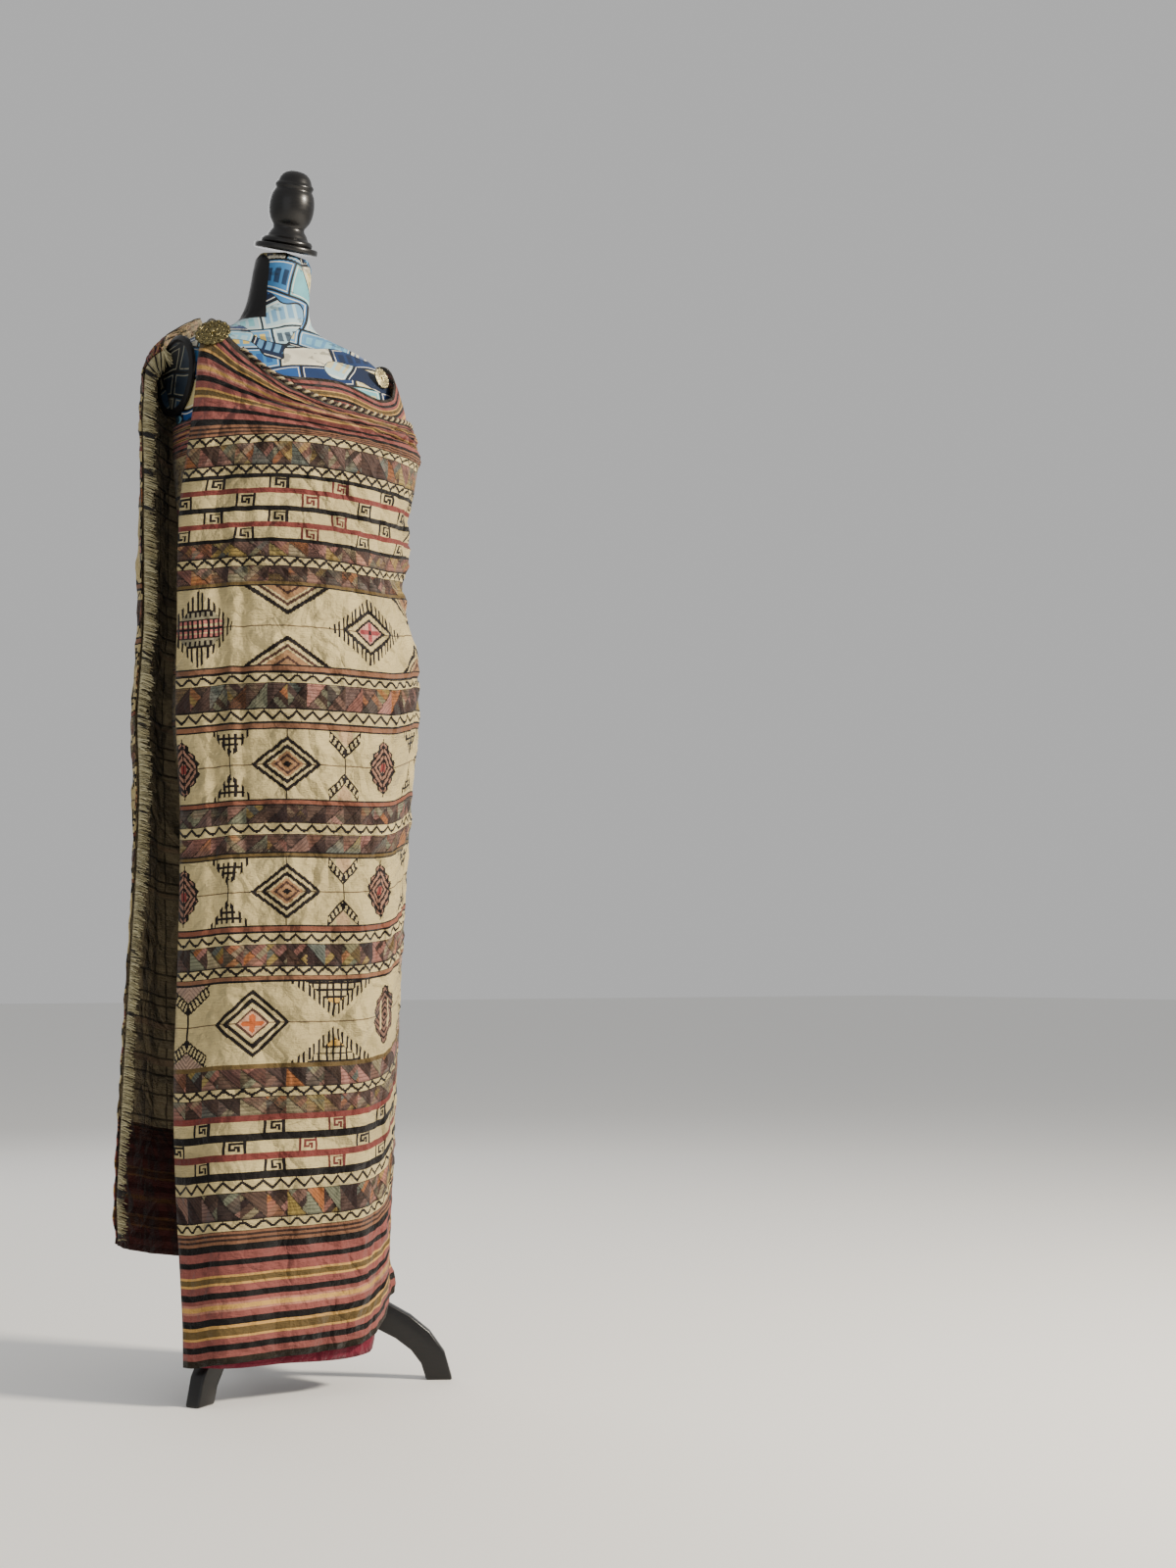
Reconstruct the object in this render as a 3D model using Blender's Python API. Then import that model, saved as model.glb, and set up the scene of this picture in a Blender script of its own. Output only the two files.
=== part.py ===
"""A kira wrapped and pinned on a dress form with a turned finial and three curved legs.

Metres, +Z up. The wrapped cloth faces -Y and the pole stands on the line
that POLE_AT names, so that the whole piece is centred on the origin.
"""

import math
from collections import namedtuple

import bmesh
import bpy
import numpy as np
from mathutils import Matrix, Vector
from mathutils.bvhtree import BVHTree

# Shared fits
GAP = 0.0003
POLE_AT = (0.0323, -0.0374)

# Cloth
CLOTH_THICK = 0.0020
CLOTH_WIDTH = 1.404
BEND_AT = 0.879
MID_AT = 0.45
CHEST_AT = 0.85
TURN_LEVELS = (0.04, 0.30, 0.72, 0.97)
OUT_LEVELS = (0.04, 0.66, 0.80, 0.97)

# Plan of the wrap by height: half width, half depth, centre in y, and the
# room a loosely hanging layer keeps where the form draws in
Ring = namedtuple("Ring", "z half_x half_y mid_y slack")
RINGS = [
    Ring(0.00, 0.108, 0.120, 0.000, 0.000),
    Ring(0.10, 0.111, 0.121, 0.000, 0.000),
    Ring(0.30, 0.119, 0.124, 0.000, 0.000),
    Ring(0.60, 0.138, 0.130, 0.000, 0.000),
    Ring(0.80, 0.153, 0.134, 0.000, 0.000),
    Ring(0.92, 0.166, 0.138, 0.000, 0.000),
    Ring(1.03, 0.154, 0.130, 0.000, 0.010),
    Ring(1.11, 0.139, 0.119, 0.000, 0.026),
    Ring(1.18, 0.149, 0.126, 0.002, 0.016),
    Ring(1.26, 0.165, 0.136, 0.004, 0.000),
    Ring(1.34, 0.166, 0.132, 0.012, 0.000),
    Ring(1.38, 0.165, 0.123, 0.024, 0.000),
    Ring(1.41, 0.163, 0.110, 0.033, 0.000),
    Ring(1.44, 0.154, 0.090, 0.041, 0.000),
    Ring(1.46, 0.132, 0.072, 0.046, 0.000),
    Ring(1.48, 0.102, 0.052, 0.048, 0.000),
]

# Stations along the wrap, from the free end round to the hidden end. "at"
# is metres along the cloth, turns are degrees from +X, outs are metres off
# the rings, each for the low, middle and top part of the cloth
Station = namedtuple(
    "Station", "at low_turn mid_turn top_turn low_out mid_out top_out cling top bend hem steps"
)
STATIONS = [
    Station(0.000, 175.0, 172.5, 171.0, 0.1310, 0.0480, 0.0120, 0.0, 1.425, 1.388, 0.200, 3),
    Station(0.095, 160.0, 156.0, 163.0, 0.0900, 0.0360, 0.0120, 0.0, 1.478, 1.404, 0.182, 3),
    Station(0.200, 130.0, 127.0, 132.0, 0.0400, 0.0200, 0.0120, 0.3, 1.460, 1.396, 0.162, 3),
    Station(0.300, 92.0, 92.0, 92.0, 0.0180, 0.0130, 0.0100, 0.4, 1.432, 1.372, 0.146, 4),
    Station(0.425, 45.0, 45.0, 45.0, 0.0170, 0.0120, 0.0100, 0.7, 1.380, 1.330, 0.138, 4),
    Station(0.545, 0.0, 0.0, 0.0, 0.0120, 0.0110, 0.0100, 1.0, 1.330, 1.280, 0.128, 3),
    Station(0.625, -32.0, -32.0, -32.0, 0.0140, 0.0110, 0.0110, 1.0, 1.324, 1.272, 0.121, 2),
    Station(0.665, -45.0, -45.0, -45.0, 0.0140, 0.0110, 0.0115, 1.0, 1.319, 1.270, 0.100, 2),
    Station(0.705, -60.0, -60.0, -60.0, 0.0150, 0.0110, 0.0120, 0.9, 1.315, 1.270, 0.075, 3),
    Station(0.790, -92.0, -92.0, -90.0, 0.0150, 0.0110, 0.0120, 0.7, 1.318, 1.272, 0.062, 3),
    Station(0.870, -120.0, -122.0, -117.0, 0.0380, 0.0110, 0.0120, 0.4, 1.339, 1.274, 0.060, 3),
    Station(0.940, -142.0, -146.0, -139.0, 0.0970, 0.0130, 0.0140, 0.1, 1.390, 1.272, 0.057, 3),
    Station(1.008, -153.6, -163.5, -157.0, 0.1105, 0.0385, 0.0150, 0.0, 1.450, 1.268, 0.050, 2),
    Station(1.020, -156.0, -166.6, -159.6, 0.1105, 0.0400, 0.0130, 0.0, 1.452, 1.268, 0.050, 2),
    Station(1.032, -154.2, -164.8, -157.5, 0.1035, 0.0335, 0.0090, 0.0, 1.450, 1.268, 0.050, 3),
    Station(1.098, -142.0, -146.0, -139.0, 0.0905, 0.0065, 0.0080, 0.1, 1.396, 1.266, 0.050, 3),
    Station(1.168, -120.0, -122.0, -117.0, 0.0320, 0.0058, 0.0062, 0.4, 1.358, 1.266, 0.049, 3),
    Station(1.248, -92.0, -92.0, -90.0, 0.0090, 0.0058, 0.0062, 0.7, 1.360, 1.266, 0.046, 3),
    Station(1.333, -60.0, -60.0, -60.0, 0.0100, 0.0058, 0.0062, 0.9, 1.346, 1.264, 0.048, 2),
    Station(1.373, -45.0, -45.0, -45.0, 0.0085, 0.0058, 0.0062, 1.0, 1.358, 1.266, 0.094, 2),
    Station(1.412, -32.0, -32.0, -32.0, 0.0085, 0.0058, 0.0062, 1.0, 1.386, 1.270, 0.124, 3),
    Station(1.492, 0.0, 0.0, 0.0, 0.0075, 0.0058, 0.0062, 1.0, 1.440, 1.290, 0.130, 4),
    Station(1.610, 45.0, 45.0, 45.0, 0.0110, 0.0060, 0.0055, 0.7, 1.412, 1.300, 0.126, 4),
    Station(1.730, 92.0, 92.0, 92.0, 0.0110, 0.0060, 0.0050, 0.4, 1.390, 1.295, 0.140, 3),
    Station(1.830, 130.0, 130.0, 130.0, 0.0100, 0.0040, 0.0030, 0.3, 1.340, 1.280, 0.132, 4),
    Station(1.960, 180.0, 180.0, 180.0, 0.0100, 0.0030, 0.0014, 0.6, 1.306, 1.258, 0.128, 4),
    Station(2.075, 219.0, 219.0, 219.0, 0.0080, 0.0020, 0.0014, 0.9, 1.306, 1.256, 0.124, 3),
    Station(2.170, 257.0, 257.0, 257.0, 0.0020, 0.0010, 0.0010, 1.0, 1.306, 1.256, 0.085, 0),
]
CLOTH_END = STATIONS[-1].at

# Heights of the cloth's rows as shares of its width
ROWS = [
    0.0, 0.015, 0.035, 0.06, 0.095, 0.14, 0.19, 0.245, 0.305, 0.365, 0.425, 0.485, 0.545, 0.60,
    0.65, 0.695, 0.735, 0.77, 0.80, 0.83, 0.86, 0.885, 0.91, 0.935, 0.96, 0.98, 1.0,
]

# Soft ridges raised off the outer layer, each from one point of the cloth to
# another: metres along, share up, ridge half width and height
Ridge = namedtuple("Ridge", "at0 up0 at1 up1 wide high")
RIDGES = [
    Ridge(0.575, 0.950, 0.86, 0.935, 0.026, 0.007),
    Ridge(0.560, 0.885, 0.74, 0.900, 0.026, 0.009),
    Ridge(0.560, 0.745, 0.70, 0.800, 0.018, 0.008),
    Ridge(0.550, 0.700, 0.67, 0.655, 0.018, 0.007),
    Ridge(0.600, 0.300, 0.61, 0.020, 0.024, 0.004),
    Ridge(0.605, 0.000, 0.635, 0.008, 0.024, 0.012),
    Ridge(0.500, 0.500, 0.50, 0.020, 0.026, 0.006),
    Ridge(0.400, 0.600, 0.39, 0.000, 0.028, 0.009),
    Ridge(0.310, 0.640, 0.31, 0.000, 0.028, 0.010),
    Ridge(0.180, 0.850, 0.16, 0.000, 0.026, 0.012),
    Ridge(0.085, 0.900, 0.075, 0.00, 0.020, 0.010),
    Ridge(0.884, 0.900, 0.884, 0.30, 0.007, 0.002),
]

# Fringe along the free end
LOCKS = 84
LOCK_LONG = 0.0150
LOCK_ROOT = 0.0085
LOCK_TIP = 0.0030
STRIP_WIDE = 0.0040
STRIP_THICK = 0.0016
STRIP_CLEAR = 0.0022

# Braid sewn along the top selvedge of the outer front layer
BRAID_R = 0.0032
BRAID_SIDES = 6
BRAID_FROM = 0.560
BRAID_TO = 0.945
BRAID_CLEAR = 0.0006
BRAID_OUT = 0.0010

# Brooches: place along the cloth, share up and radius, and the way they face where
# the pin holds them off the cloth's own slope: turn, tilt up and height above the place
Brooch = namedtuple("Brooch", "name at up radius facing")
Facing = namedtuple("Facing", "turn tilt rise")
BROOCHES = [
    Brooch("brooch_shoulder", 0.994, 0.986, 0.0250, None),
    Brooch("brooch_arm", 1.388, 1.000, 0.0150, Facing(-68.0, 12.0, 0.030)),
]
SEAT_STEPS = 12
SEAT_ABOVE = 0.020
SEAT_REACH = 0.060
SEAT_GAP = 0.0004
DISC_THICK = 0.0030
DISC_SCALLOP = 0.0016
DISC_POINTS = 14
DOME_R = 0.010
DOME_HIGH = 0.0045

# Form: sections of the torso and neck by height
Section = namedtuple("Section", "z half_x half_y mid_y square side lean")
TORSO_CLEAR = 0.0026
TORSO = [
    Section(1.300, 0.1610, 0.1300, 0.006, 2.1, 0.1590, 0.0),
    Section(1.322, 0.1620, 0.1260, 0.010, 2.2, 0.1565, 0.0),
    Section(1.380, 0.1620, 0.1090, 0.027, 2.3, 0.1560, 0.0),
    Section(1.410, 0.1570, 0.0910, 0.037, 2.4, 0.1540, 0.0),
    Section(1.434, 0.1460, 0.0710, 0.045, 2.4, 0.1480, 0.0),
    Section(1.450, 0.1160, 0.0590, 0.051, 2.2, 0.1480, 0.0),
    Section(1.464, 0.0740, 0.0500, 0.056, 2.0, 0.1480, 0.1),
    Section(1.480, 0.0510, 0.0460, 0.055, 2.0, 0.1480, 0.3),
    Section(1.505, 0.0430, 0.0430, 0.047, 2.0, 0.1480, 0.7),
    Section(1.545, 0.0408, 0.0408, 0.035, 2.0, 0.1480, 1.0),
    Section(1.577, 0.0405, 0.0405, 0.025, 2.0, 0.1480, 1.0),
]
TORSO_BOTTOM = 0.862
TORSO_LOW_ROWS = [0.862, 0.90, 0.94, 0.99, 1.04, 1.08, 1.12, 1.16, 1.20, 1.24]
TORSO_SIDES = 40
NECK_LEAN = math.radians(17.0)

# Turned finial above the neck, as radius and height above the neck's top
Turning = namedtuple("Turning", "r z")
CAP_DISC = [Turning(0.0, 0.0003), Turning(0.0445, 0.0003), Turning(0.0450, 0.0020)]
CAP_DISC += [Turning(0.0450, 0.0060), Turning(0.0430, 0.0078), Turning(0.0, 0.0078)]
FINIAL = [
    Turning(0.0000, 0.0081),
    Turning(0.0350, 0.0081),
    Turning(0.0365, 0.0120),
    Turning(0.0350, 0.0165),
    Turning(0.0290, 0.0190),
    Turning(0.0265, 0.0250),
    Turning(0.0225, 0.0300),
    Turning(0.0225, 0.0335),
    Turning(0.0280, 0.0410),
    Turning(0.0315, 0.0530),
    Turning(0.0320, 0.0650),
    Turning(0.0300, 0.0770),
    Turning(0.0262, 0.0835),
    Turning(0.0262, 0.0865),
    Turning(0.0275, 0.0890),
    Turning(0.0262, 0.0920),
    Turning(0.0240, 0.0940),
    Turning(0.0205, 0.1025),
    Turning(0.0130, 0.1085),
    Turning(0.0000, 0.1105),
]
TURN_STEPS = 24

# Armhole plate on the flat side of the torso, its rim as shares of the oval
# and of the thickness
PLATE_HALF_Y = 0.057
PLATE_HALF_Z = 0.056
PLATE_MID = (0.043, 1.379)
PLATE_THICK = 0.0050
PLATE_RIM = ((1.0, 0.0), (1.0, 1.0), (0.88, 1.45), (0.84, 1.0))
PLATE_SIDES = 28
PLATE_LEAN = math.radians(1.5)

# Stand
BASE_R = 0.095
BASE_THICK = 0.012
POLE_R = 0.0155
HUB_R = 0.0292
HUB_BOTTOM = 0.104
HUB_TOP = 0.215
LEG_THICK = 0.022
LEG_TURNS = (-32.0, 88.0, 208.0)
LegStep = namedtuple("LegStep", "out z half")
LEG = [
    LegStep(0.0295, 0.168, 0.0230),
    LegStep(0.0480, 0.151, 0.0220),
    LegStep(0.0750, 0.124, 0.0205),
    LegStep(0.1020, 0.102, 0.0195),
    LegStep(0.1300, 0.086, 0.0190),
    LegStep(0.1560, 0.072, 0.0185),
    LegStep(0.1800, 0.053, 0.0180),
    LegStep(0.1970, 0.030, 0.0178),
    LegStep(0.2060, 0.000, 0.0180),
]

# Colours
CLOTH_COLOUR = (0.62, 0.50, 0.34)
FRINGE_COLOUR = (0.42, 0.38, 0.26)
BRAID_COLOUR = (0.30, 0.24, 0.16)
GILT_COLOUR = (0.62, 0.52, 0.26)
PRINT_COLOUR = (0.20, 0.36, 0.58)
BLACK_COLOUR = (0.015, 0.014, 0.014)


def clear_scene():
    for obj in list(bpy.data.objects):
        bpy.data.objects.remove(obj, do_unlink=True)


def material(name, colour, roughness, metallic=0.0):
    made = bpy.data.materials.new(name)
    made.use_nodes = True
    shader = made.node_tree.nodes["Principled BSDF"]
    shader.inputs["Base Color"].default_value = (*colour, 1.0)
    shader.inputs["Roughness"].default_value = roughness
    shader.inputs["Metallic"].default_value = metallic
    return made


def slopes(xs, ys):
    """Slopes at the knots that keep a cubic through them free of overshoot."""
    step = np.diff(xs)
    rise = np.diff(ys) / step
    out = np.zeros_like(ys)
    for i in range(1, len(xs) - 1):
        if rise[i - 1] * rise[i] > 0:
            before = 2 * step[i] + step[i - 1]
            after = step[i] + 2 * step[i - 1]
            out[i] = (before + after) / (before / rise[i - 1] + after / rise[i])
    out[0] = rise[0]
    out[-1] = rise[-1]
    return out


def blend(xs, ys, x):
    """Smooth curve through (xs, ys), read at x, straight beyond the ends."""
    xs = np.asarray(xs, float)
    ys = np.asarray(ys, float)
    tilt = slopes(xs, ys)
    i = int(np.clip(np.searchsorted(xs, x) - 1, 0, len(xs) - 2))
    if x < xs[0]:
        return ys[0] + (x - xs[0]) * tilt[0]
    if x > xs[-1]:
        return ys[-1] + (x - xs[-1]) * tilt[-1]
    step = xs[i + 1] - xs[i]
    t = (x - xs[i]) / step
    start = (2 * t**3 - 3 * t**2 + 1) * ys[i] + (t**3 - 2 * t**2 + t) * step * tilt[i]
    end = (3 * t**2 - 2 * t**3) * ys[i + 1] + (t**3 - t**2) * step * tilt[i + 1]
    return start + end


def column(rows, name):
    return [getattr(row, name) for row in rows]


RING_Z = column(RINGS, "z")
STATION_AT = column(STATIONS, "at")


def ring_at(z):
    return [blend(RING_Z, column(RINGS, name), z) for name in ("half_x", "half_y", "mid_y", "slack")]


def ridge_height(at, up):
    """Height of the ridges on the outer layer at a point of the cloth."""
    total = 0.0
    for ridge in RIDGES:
        along = (ridge.at1 - ridge.at0, (ridge.up1 - ridge.up0) * CLOTH_WIDTH)
        here = (at - ridge.at0, (up - ridge.up0) * CLOTH_WIDTH)
        length = math.hypot(*along)
        share = (here[0] * along[0] + here[1] * along[1]) / length**2
        near = min(max(share, 0.0), 1.0)
        away = math.hypot(here[0] - near * along[0], here[1] - near * along[1])
        ends = math.sin(math.pi * (0.12 + 0.76 * near))
        total += ridge.high * ends * math.exp(-((away / ridge.wide) ** 2))
    return total


def cloth_point(at, up):
    """Middle of the cloth's thickness, metres along the wrap and a share of the width up."""
    row = {
        name: blend(STATION_AT, column(STATIONS, name), at)
        for name in Station._fields
        if name not in ("at", "steps")
    }
    drop = (row["bend"] - row["hem"]) / BEND_AT
    heights = [row["hem"] + drop * share for share in (0.0, MID_AT, CHEST_AT, BEND_AT)]
    z = blend((0.0, MID_AT, CHEST_AT, BEND_AT, 1.0), heights + [row["top"]], up)
    level = min(max(up, TURN_LEVELS[0]), TURN_LEVELS[-1])
    turns = [row["low_turn"], row["mid_turn"], row["mid_turn"], row["top_turn"]]
    outs = [row["low_out"], row["mid_out"], row["mid_out"], row["top_out"]]
    turn = blend(TURN_LEVELS, turns, level)
    out = blend(OUT_LEVELS, outs, level)
    half_x, half_y, mid_y, slack = ring_at(z)
    out += slack * (1.0 - row["cling"])
    fade = min(max((1.0 - at) / 0.05, 0.0), 1.0)
    if fade > 0.0:
        out += ridge_height(at, up) * fade
    cos = math.cos(math.radians(turn))
    sin = math.sin(math.radians(turn))
    radius = 1.0 / math.hypot(cos / half_x, sin / half_y) + out
    return Vector((radius * cos, radius * sin + mid_y, z))


def cloth_normal(at, up):
    """Side of the cloth that shows outside on the outer layer."""
    small = 0.002
    along = cloth_point(at + small, up) - cloth_point(at - small, up)
    low = max(up - small, 0.0)
    high = min(up + small, 1.0)
    across = cloth_point(at, high) - cloth_point(at, low)
    return across.cross(along).normalized()


def new_object(name, mesh, finish, smooth=True):
    obj = bpy.data.objects.new(name, mesh)
    bpy.context.collection.objects.link(obj)
    mesh.materials.append(finish)
    for face in mesh.polygons:
        face.use_smooth = smooth
    mesh.transform(Matrix.Translation((POLE_AT[0], POLE_AT[1], 0.0)))
    return obj


def from_bmesh(name, bm, finish, smooth=True):
    bmesh.ops.recalc_face_normals(bm, faces=bm.faces)
    mesh = bpy.data.meshes.new(name)
    bm.to_mesh(mesh)
    bm.free()
    return new_object(name, mesh, finish, smooth)


def wrap_places():
    """Places along the cloth where the solid has its columns."""
    places = []
    for here, after in zip(STATIONS, STATIONS[1:]):
        for i in range(here.steps):
            places.append(here.at + (after.at - here.at) * i / here.steps)
    return places + [CLOTH_END]


def shell(bm, grid_out, grid_in):
    """Joins two grids of points of one size into a closed sheet."""
    outer = [[bm.verts.new(p) for p in line] for line in grid_out]
    inner = [[bm.verts.new(p) for p in line] for line in grid_in]
    last_i = len(outer) - 1
    last_j = len(outer[0]) - 1
    for i in range(last_i):
        for j in range(last_j):
            bm.faces.new((outer[i][j], outer[i + 1][j], outer[i + 1][j + 1], outer[i][j + 1]))
            bm.faces.new((inner[i][j], inner[i][j + 1], inner[i + 1][j + 1], inner[i + 1][j]))
    for i in range(last_i):
        for j in (0, last_j):
            bm.faces.new((outer[i][j], outer[i + 1][j], inner[i + 1][j], inner[i][j]))
    for j in range(last_j):
        for i in (0, last_i):
            bm.faces.new((outer[i][j], outer[i][j + 1], inner[i][j + 1], inner[i][j]))


def make_kira(finish):
    half = CLOTH_THICK / 2
    outside = []
    inside = []
    for at in wrap_places():
        front = []
        back = []
        for up in ROWS:
            point = cloth_point(at, up)
            normal = cloth_normal(at, up)
            front.append(point + normal * half)
            back.append(point - normal * half)
        outside.append(front)
        inside.append(back)
    bm = bmesh.new()
    shell(bm, outside, inside)
    return from_bmesh("kira", bm, finish)


def free_end(up, out):
    """Point beyond the free end of the cloth, its outward way and its normal."""
    end = cloth_point(0.0, up)
    way = (end - cloth_point(0.01, up)).normalized()
    normal = cloth_normal(0.002, up)
    return end + way * out, way, normal


def make_fringe(finish):
    """Narrow woven strip beside the free end with the locks of warp standing out of it."""
    start = STRIP_CLEAR
    bm = bmesh.new()
    near = []
    far = []
    ups = []
    spread = 0.5 * LOCK_ROOT / CLOTH_WIDTH
    for i in range(LOCKS):
        middle = 0.004 + (i + 0.5) * 0.992 / LOCKS
        ups += [middle - spread, middle + spread]
    for up in ups:
        root, way, normal = free_end(up, start)
        half = normal * STRIP_THICK / 2
        outer = root + way * STRIP_WIDE
        near.append((bm.verts.new(root + half), bm.verts.new(root - half)))
        far.append((bm.verts.new(outer + half), bm.verts.new(outer - half)))
    for i in range(len(ups) - 1):
        bm.faces.new((near[i][0], near[i + 1][0], far[i + 1][0], far[i][0]))
        bm.faces.new((near[i][1], far[i][1], far[i + 1][1], near[i + 1][1]))
        bm.faces.new((near[i][0], near[i][1], near[i + 1][1], near[i + 1][0]))
    for i in (0, len(ups) - 1):
        bm.faces.new((near[i][0], near[i][1], far[i][1], far[i][0]))
    for i in range(len(ups) - 1):
        root = (far[i][0], far[i + 1][0], far[i + 1][1], far[i][1])
        if i % 2:
            bm.faces.new(root)
            continue
        up = 0.5 * (ups[i] + ups[i + 1])
        tip, way, normal = free_end(up, start + STRIP_WIDE)
        sway = 0.5 + 0.5 * math.sin(2.4 * i)
        long = LOCK_LONG * (0.82 + 0.36 * sway)
        drop = Vector((0.0, 0.0, -0.0030 - 0.0035 * math.sin(1.7 * i + 0.6)))
        tip = tip + way * long + drop + normal * 0.002 * math.sin(0.9 * i)
        rise = (far[i + 1][0].co - far[i][0].co).normalized() * LOCK_TIP / 2
        half = normal * STRIP_THICK * 0.3
        end = [
            bm.verts.new(tip - rise + half),
            bm.verts.new(tip + rise + half),
            bm.verts.new(tip + rise - half),
            bm.verts.new(tip - rise - half),
        ]
        bm.faces.new(end)
        for k in range(4):
            after = (k + 1) % 4
            bm.faces.new((root[k], root[after], end[after], end[k]))
    return from_bmesh("fringe", bm, finish, smooth=False)


def make_braid(finish):
    """Round braid lying along the top selvedge of the outer front layer."""
    bm = bmesh.new()
    rings = []
    for at in wrap_places():
        if not BRAID_FROM <= at <= BRAID_TO:
            continue
        top = cloth_point(at, 1.0)
        edge = cloth_point(at + 0.004, 1.0) - cloth_point(at - 0.004, 1.0)
        normal = cloth_normal(at, 0.999)
        rise = edge.cross(normal).normalized()
        middle = top + rise * (BRAID_R + BRAID_CLEAR) + normal * BRAID_OUT
        ring = []
        for k in range(BRAID_SIDES):
            angle = 2 * math.pi * (k + 0.5) / BRAID_SIDES
            ring.append(bm.verts.new(middle + (rise * math.cos(angle) + normal * math.sin(angle)) * BRAID_R))
        rings.append(ring)
    for here, after in zip(rings, rings[1:]):
        for k in range(BRAID_SIDES):
            nxt = (k + 1) % BRAID_SIDES
            bm.faces.new((here[k], here[nxt], after[nxt], after[k]))
    bm.faces.new(rings[0])
    bm.faces.new(rings[-1])
    return from_bmesh("selvedge_braid", bm, finish)


def placed(point, normal):
    """Matrix that stands +Z along the normal at the point."""
    return Matrix.Translation(point) @ normal.to_track_quat("Z", "Y").to_matrix().to_4x4()


def surface_of(obj):
    bm = bmesh.new()
    bm.from_mesh(obj.data)
    tree = BVHTree.FromBMesh(bm)
    bm.free()
    return tree


def seat(row, below):
    """Way that a brooch faces and the point under its middle, clear of what is below it."""
    normal = cloth_normal(row.at, row.up)
    middle = cloth_point(row.at, row.up)
    if row.facing is not None:
        turn = math.radians(row.facing.turn)
        tilt = math.radians(row.facing.tilt)
        flat = math.cos(tilt)
        normal = Vector((flat * math.cos(turn), flat * math.sin(turn), math.sin(tilt)))
        middle.z += row.facing.rise
    shift = Vector((POLE_AT[0], POLE_AT[1], 0.0))
    frame = normal.to_track_quat("Z", "Y").to_matrix()
    lowest = SEAT_REACH
    for i in range(-SEAT_STEPS, SEAT_STEPS + 1):
        for j in range(-SEAT_STEPS, SEAT_STEPS + 1):
            flat = Vector((i, j, 0.0)) * row.radius / SEAT_STEPS
            if flat.length > row.radius:
                continue
            start = middle + shift + frame @ flat + normal * SEAT_ABOVE
            for surface in below:
                depth = surface.ray_cast(start, -normal, SEAT_REACH)[3]
                if depth is not None:
                    lowest = min(lowest, depth)
    return normal, middle + normal * (SEAT_ABOVE - lowest + SEAT_GAP)


def make_brooch(row, below, finish):
    """Scalloped round plate with a raised boss, lying on the pinned cloth."""
    normal, point = seat(row, below)
    bm = bmesh.new()
    count = 2 * DISC_POINTS
    rims = []
    for height, shrink in ((0.0, 0.0), (DISC_THICK, 0.0008)):
        rim = []
        for k in range(count):
            angle = 2 * math.pi * k / count
            r = row.radius - shrink - (DISC_SCALLOP if k % 2 else 0.0)
            rim.append(bm.verts.new((r * math.cos(angle), r * math.sin(angle), height)))
        rims.append(rim)
    boss = []
    for k in range(count):
        angle = 2 * math.pi * k / count
        boss.append(bm.verts.new((DOME_R * math.cos(angle), DOME_R * math.sin(angle), DISC_THICK)))
    peak = bm.verts.new((0.0, 0.0, DISC_THICK + DOME_HIGH))
    bm.faces.new(rims[0])
    for k in range(count):
        nxt = (k + 1) % count
        bm.faces.new((rims[0][k], rims[0][nxt], rims[1][nxt], rims[1][k]))
        bm.faces.new((rims[1][k], rims[1][nxt], boss[nxt], boss[k]))
        bm.faces.new((boss[k], boss[nxt], peak))
    bm.transform(placed(point, normal))
    return from_bmesh(row.name, bm, finish, smooth=False)


def section_ring(bm, section, sides):
    ring = []
    for k in range(sides):
        angle = 2 * math.pi * k / sides
        cos = math.cos(angle)
        sin = math.sin(angle)
        power = 2.0 / section.square
        x = section.half_x * math.copysign(abs(cos) ** power, cos)
        x = min(max(x, -section.side), section.side)
        y = section.half_y * math.copysign(abs(sin) ** power, sin)
        rise = y * math.tan(NECK_LEAN * section.lean)
        ring.append(bm.verts.new((x, y + section.mid_y, section.z + rise)))
    return ring


def torso_sections():
    rows = []
    for z in TORSO_LOW_ROWS:
        half_x, half_y, mid_y, _ = ring_at(z)
        side = half_x - TORSO_CLEAR
        rows.append(Section(z, side, half_y - TORSO_CLEAR, mid_y, 2.0, side, 0.0))
    return rows + TORSO


def make_torso(finish):
    bm = bmesh.new()
    rings = [section_ring(bm, section, TORSO_SIDES) for section in torso_sections()]
    for here, after in zip(rings, rings[1:]):
        for k in range(TORSO_SIDES):
            nxt = (k + 1) % TORSO_SIDES
            bm.faces.new((here[k], here[nxt], after[nxt], after[k]))
    bm.faces.new(rings[0])
    bm.faces.new(rings[-1])
    return from_bmesh("torso", bm, finish)


def turned(name, profile, finish, place):
    """Solid of revolution from a profile of radii and heights that starts and ends on the axis."""
    bm = bmesh.new()
    rings = []
    for step in profile:
        if step.r == 0.0:
            rings.append([bm.verts.new((0.0, 0.0, step.z))])
            continue
        ring = []
        for k in range(TURN_STEPS):
            angle = 2 * math.pi * k / TURN_STEPS
            ring.append(bm.verts.new((step.r * math.cos(angle), step.r * math.sin(angle), step.z)))
        rings.append(ring)
    for here, after in zip(rings, rings[1:]):
        for k in range(TURN_STEPS):
            nxt = (k + 1) % TURN_STEPS
            if len(here) == 1:
                bm.faces.new((here[0], after[nxt], after[k]))
            elif len(after) == 1:
                bm.faces.new((here[k], here[nxt], after[0]))
            else:
                bm.faces.new((here[k], here[nxt], after[nxt], after[k]))
    bm.transform(place)
    return from_bmesh(name, bm, finish)


def neck_place():
    top = TORSO[-1]
    tilt = Matrix.Rotation(NECK_LEAN, 4, "X")
    return Matrix.Translation((0.0, top.mid_y, top.z)) @ tilt


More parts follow.
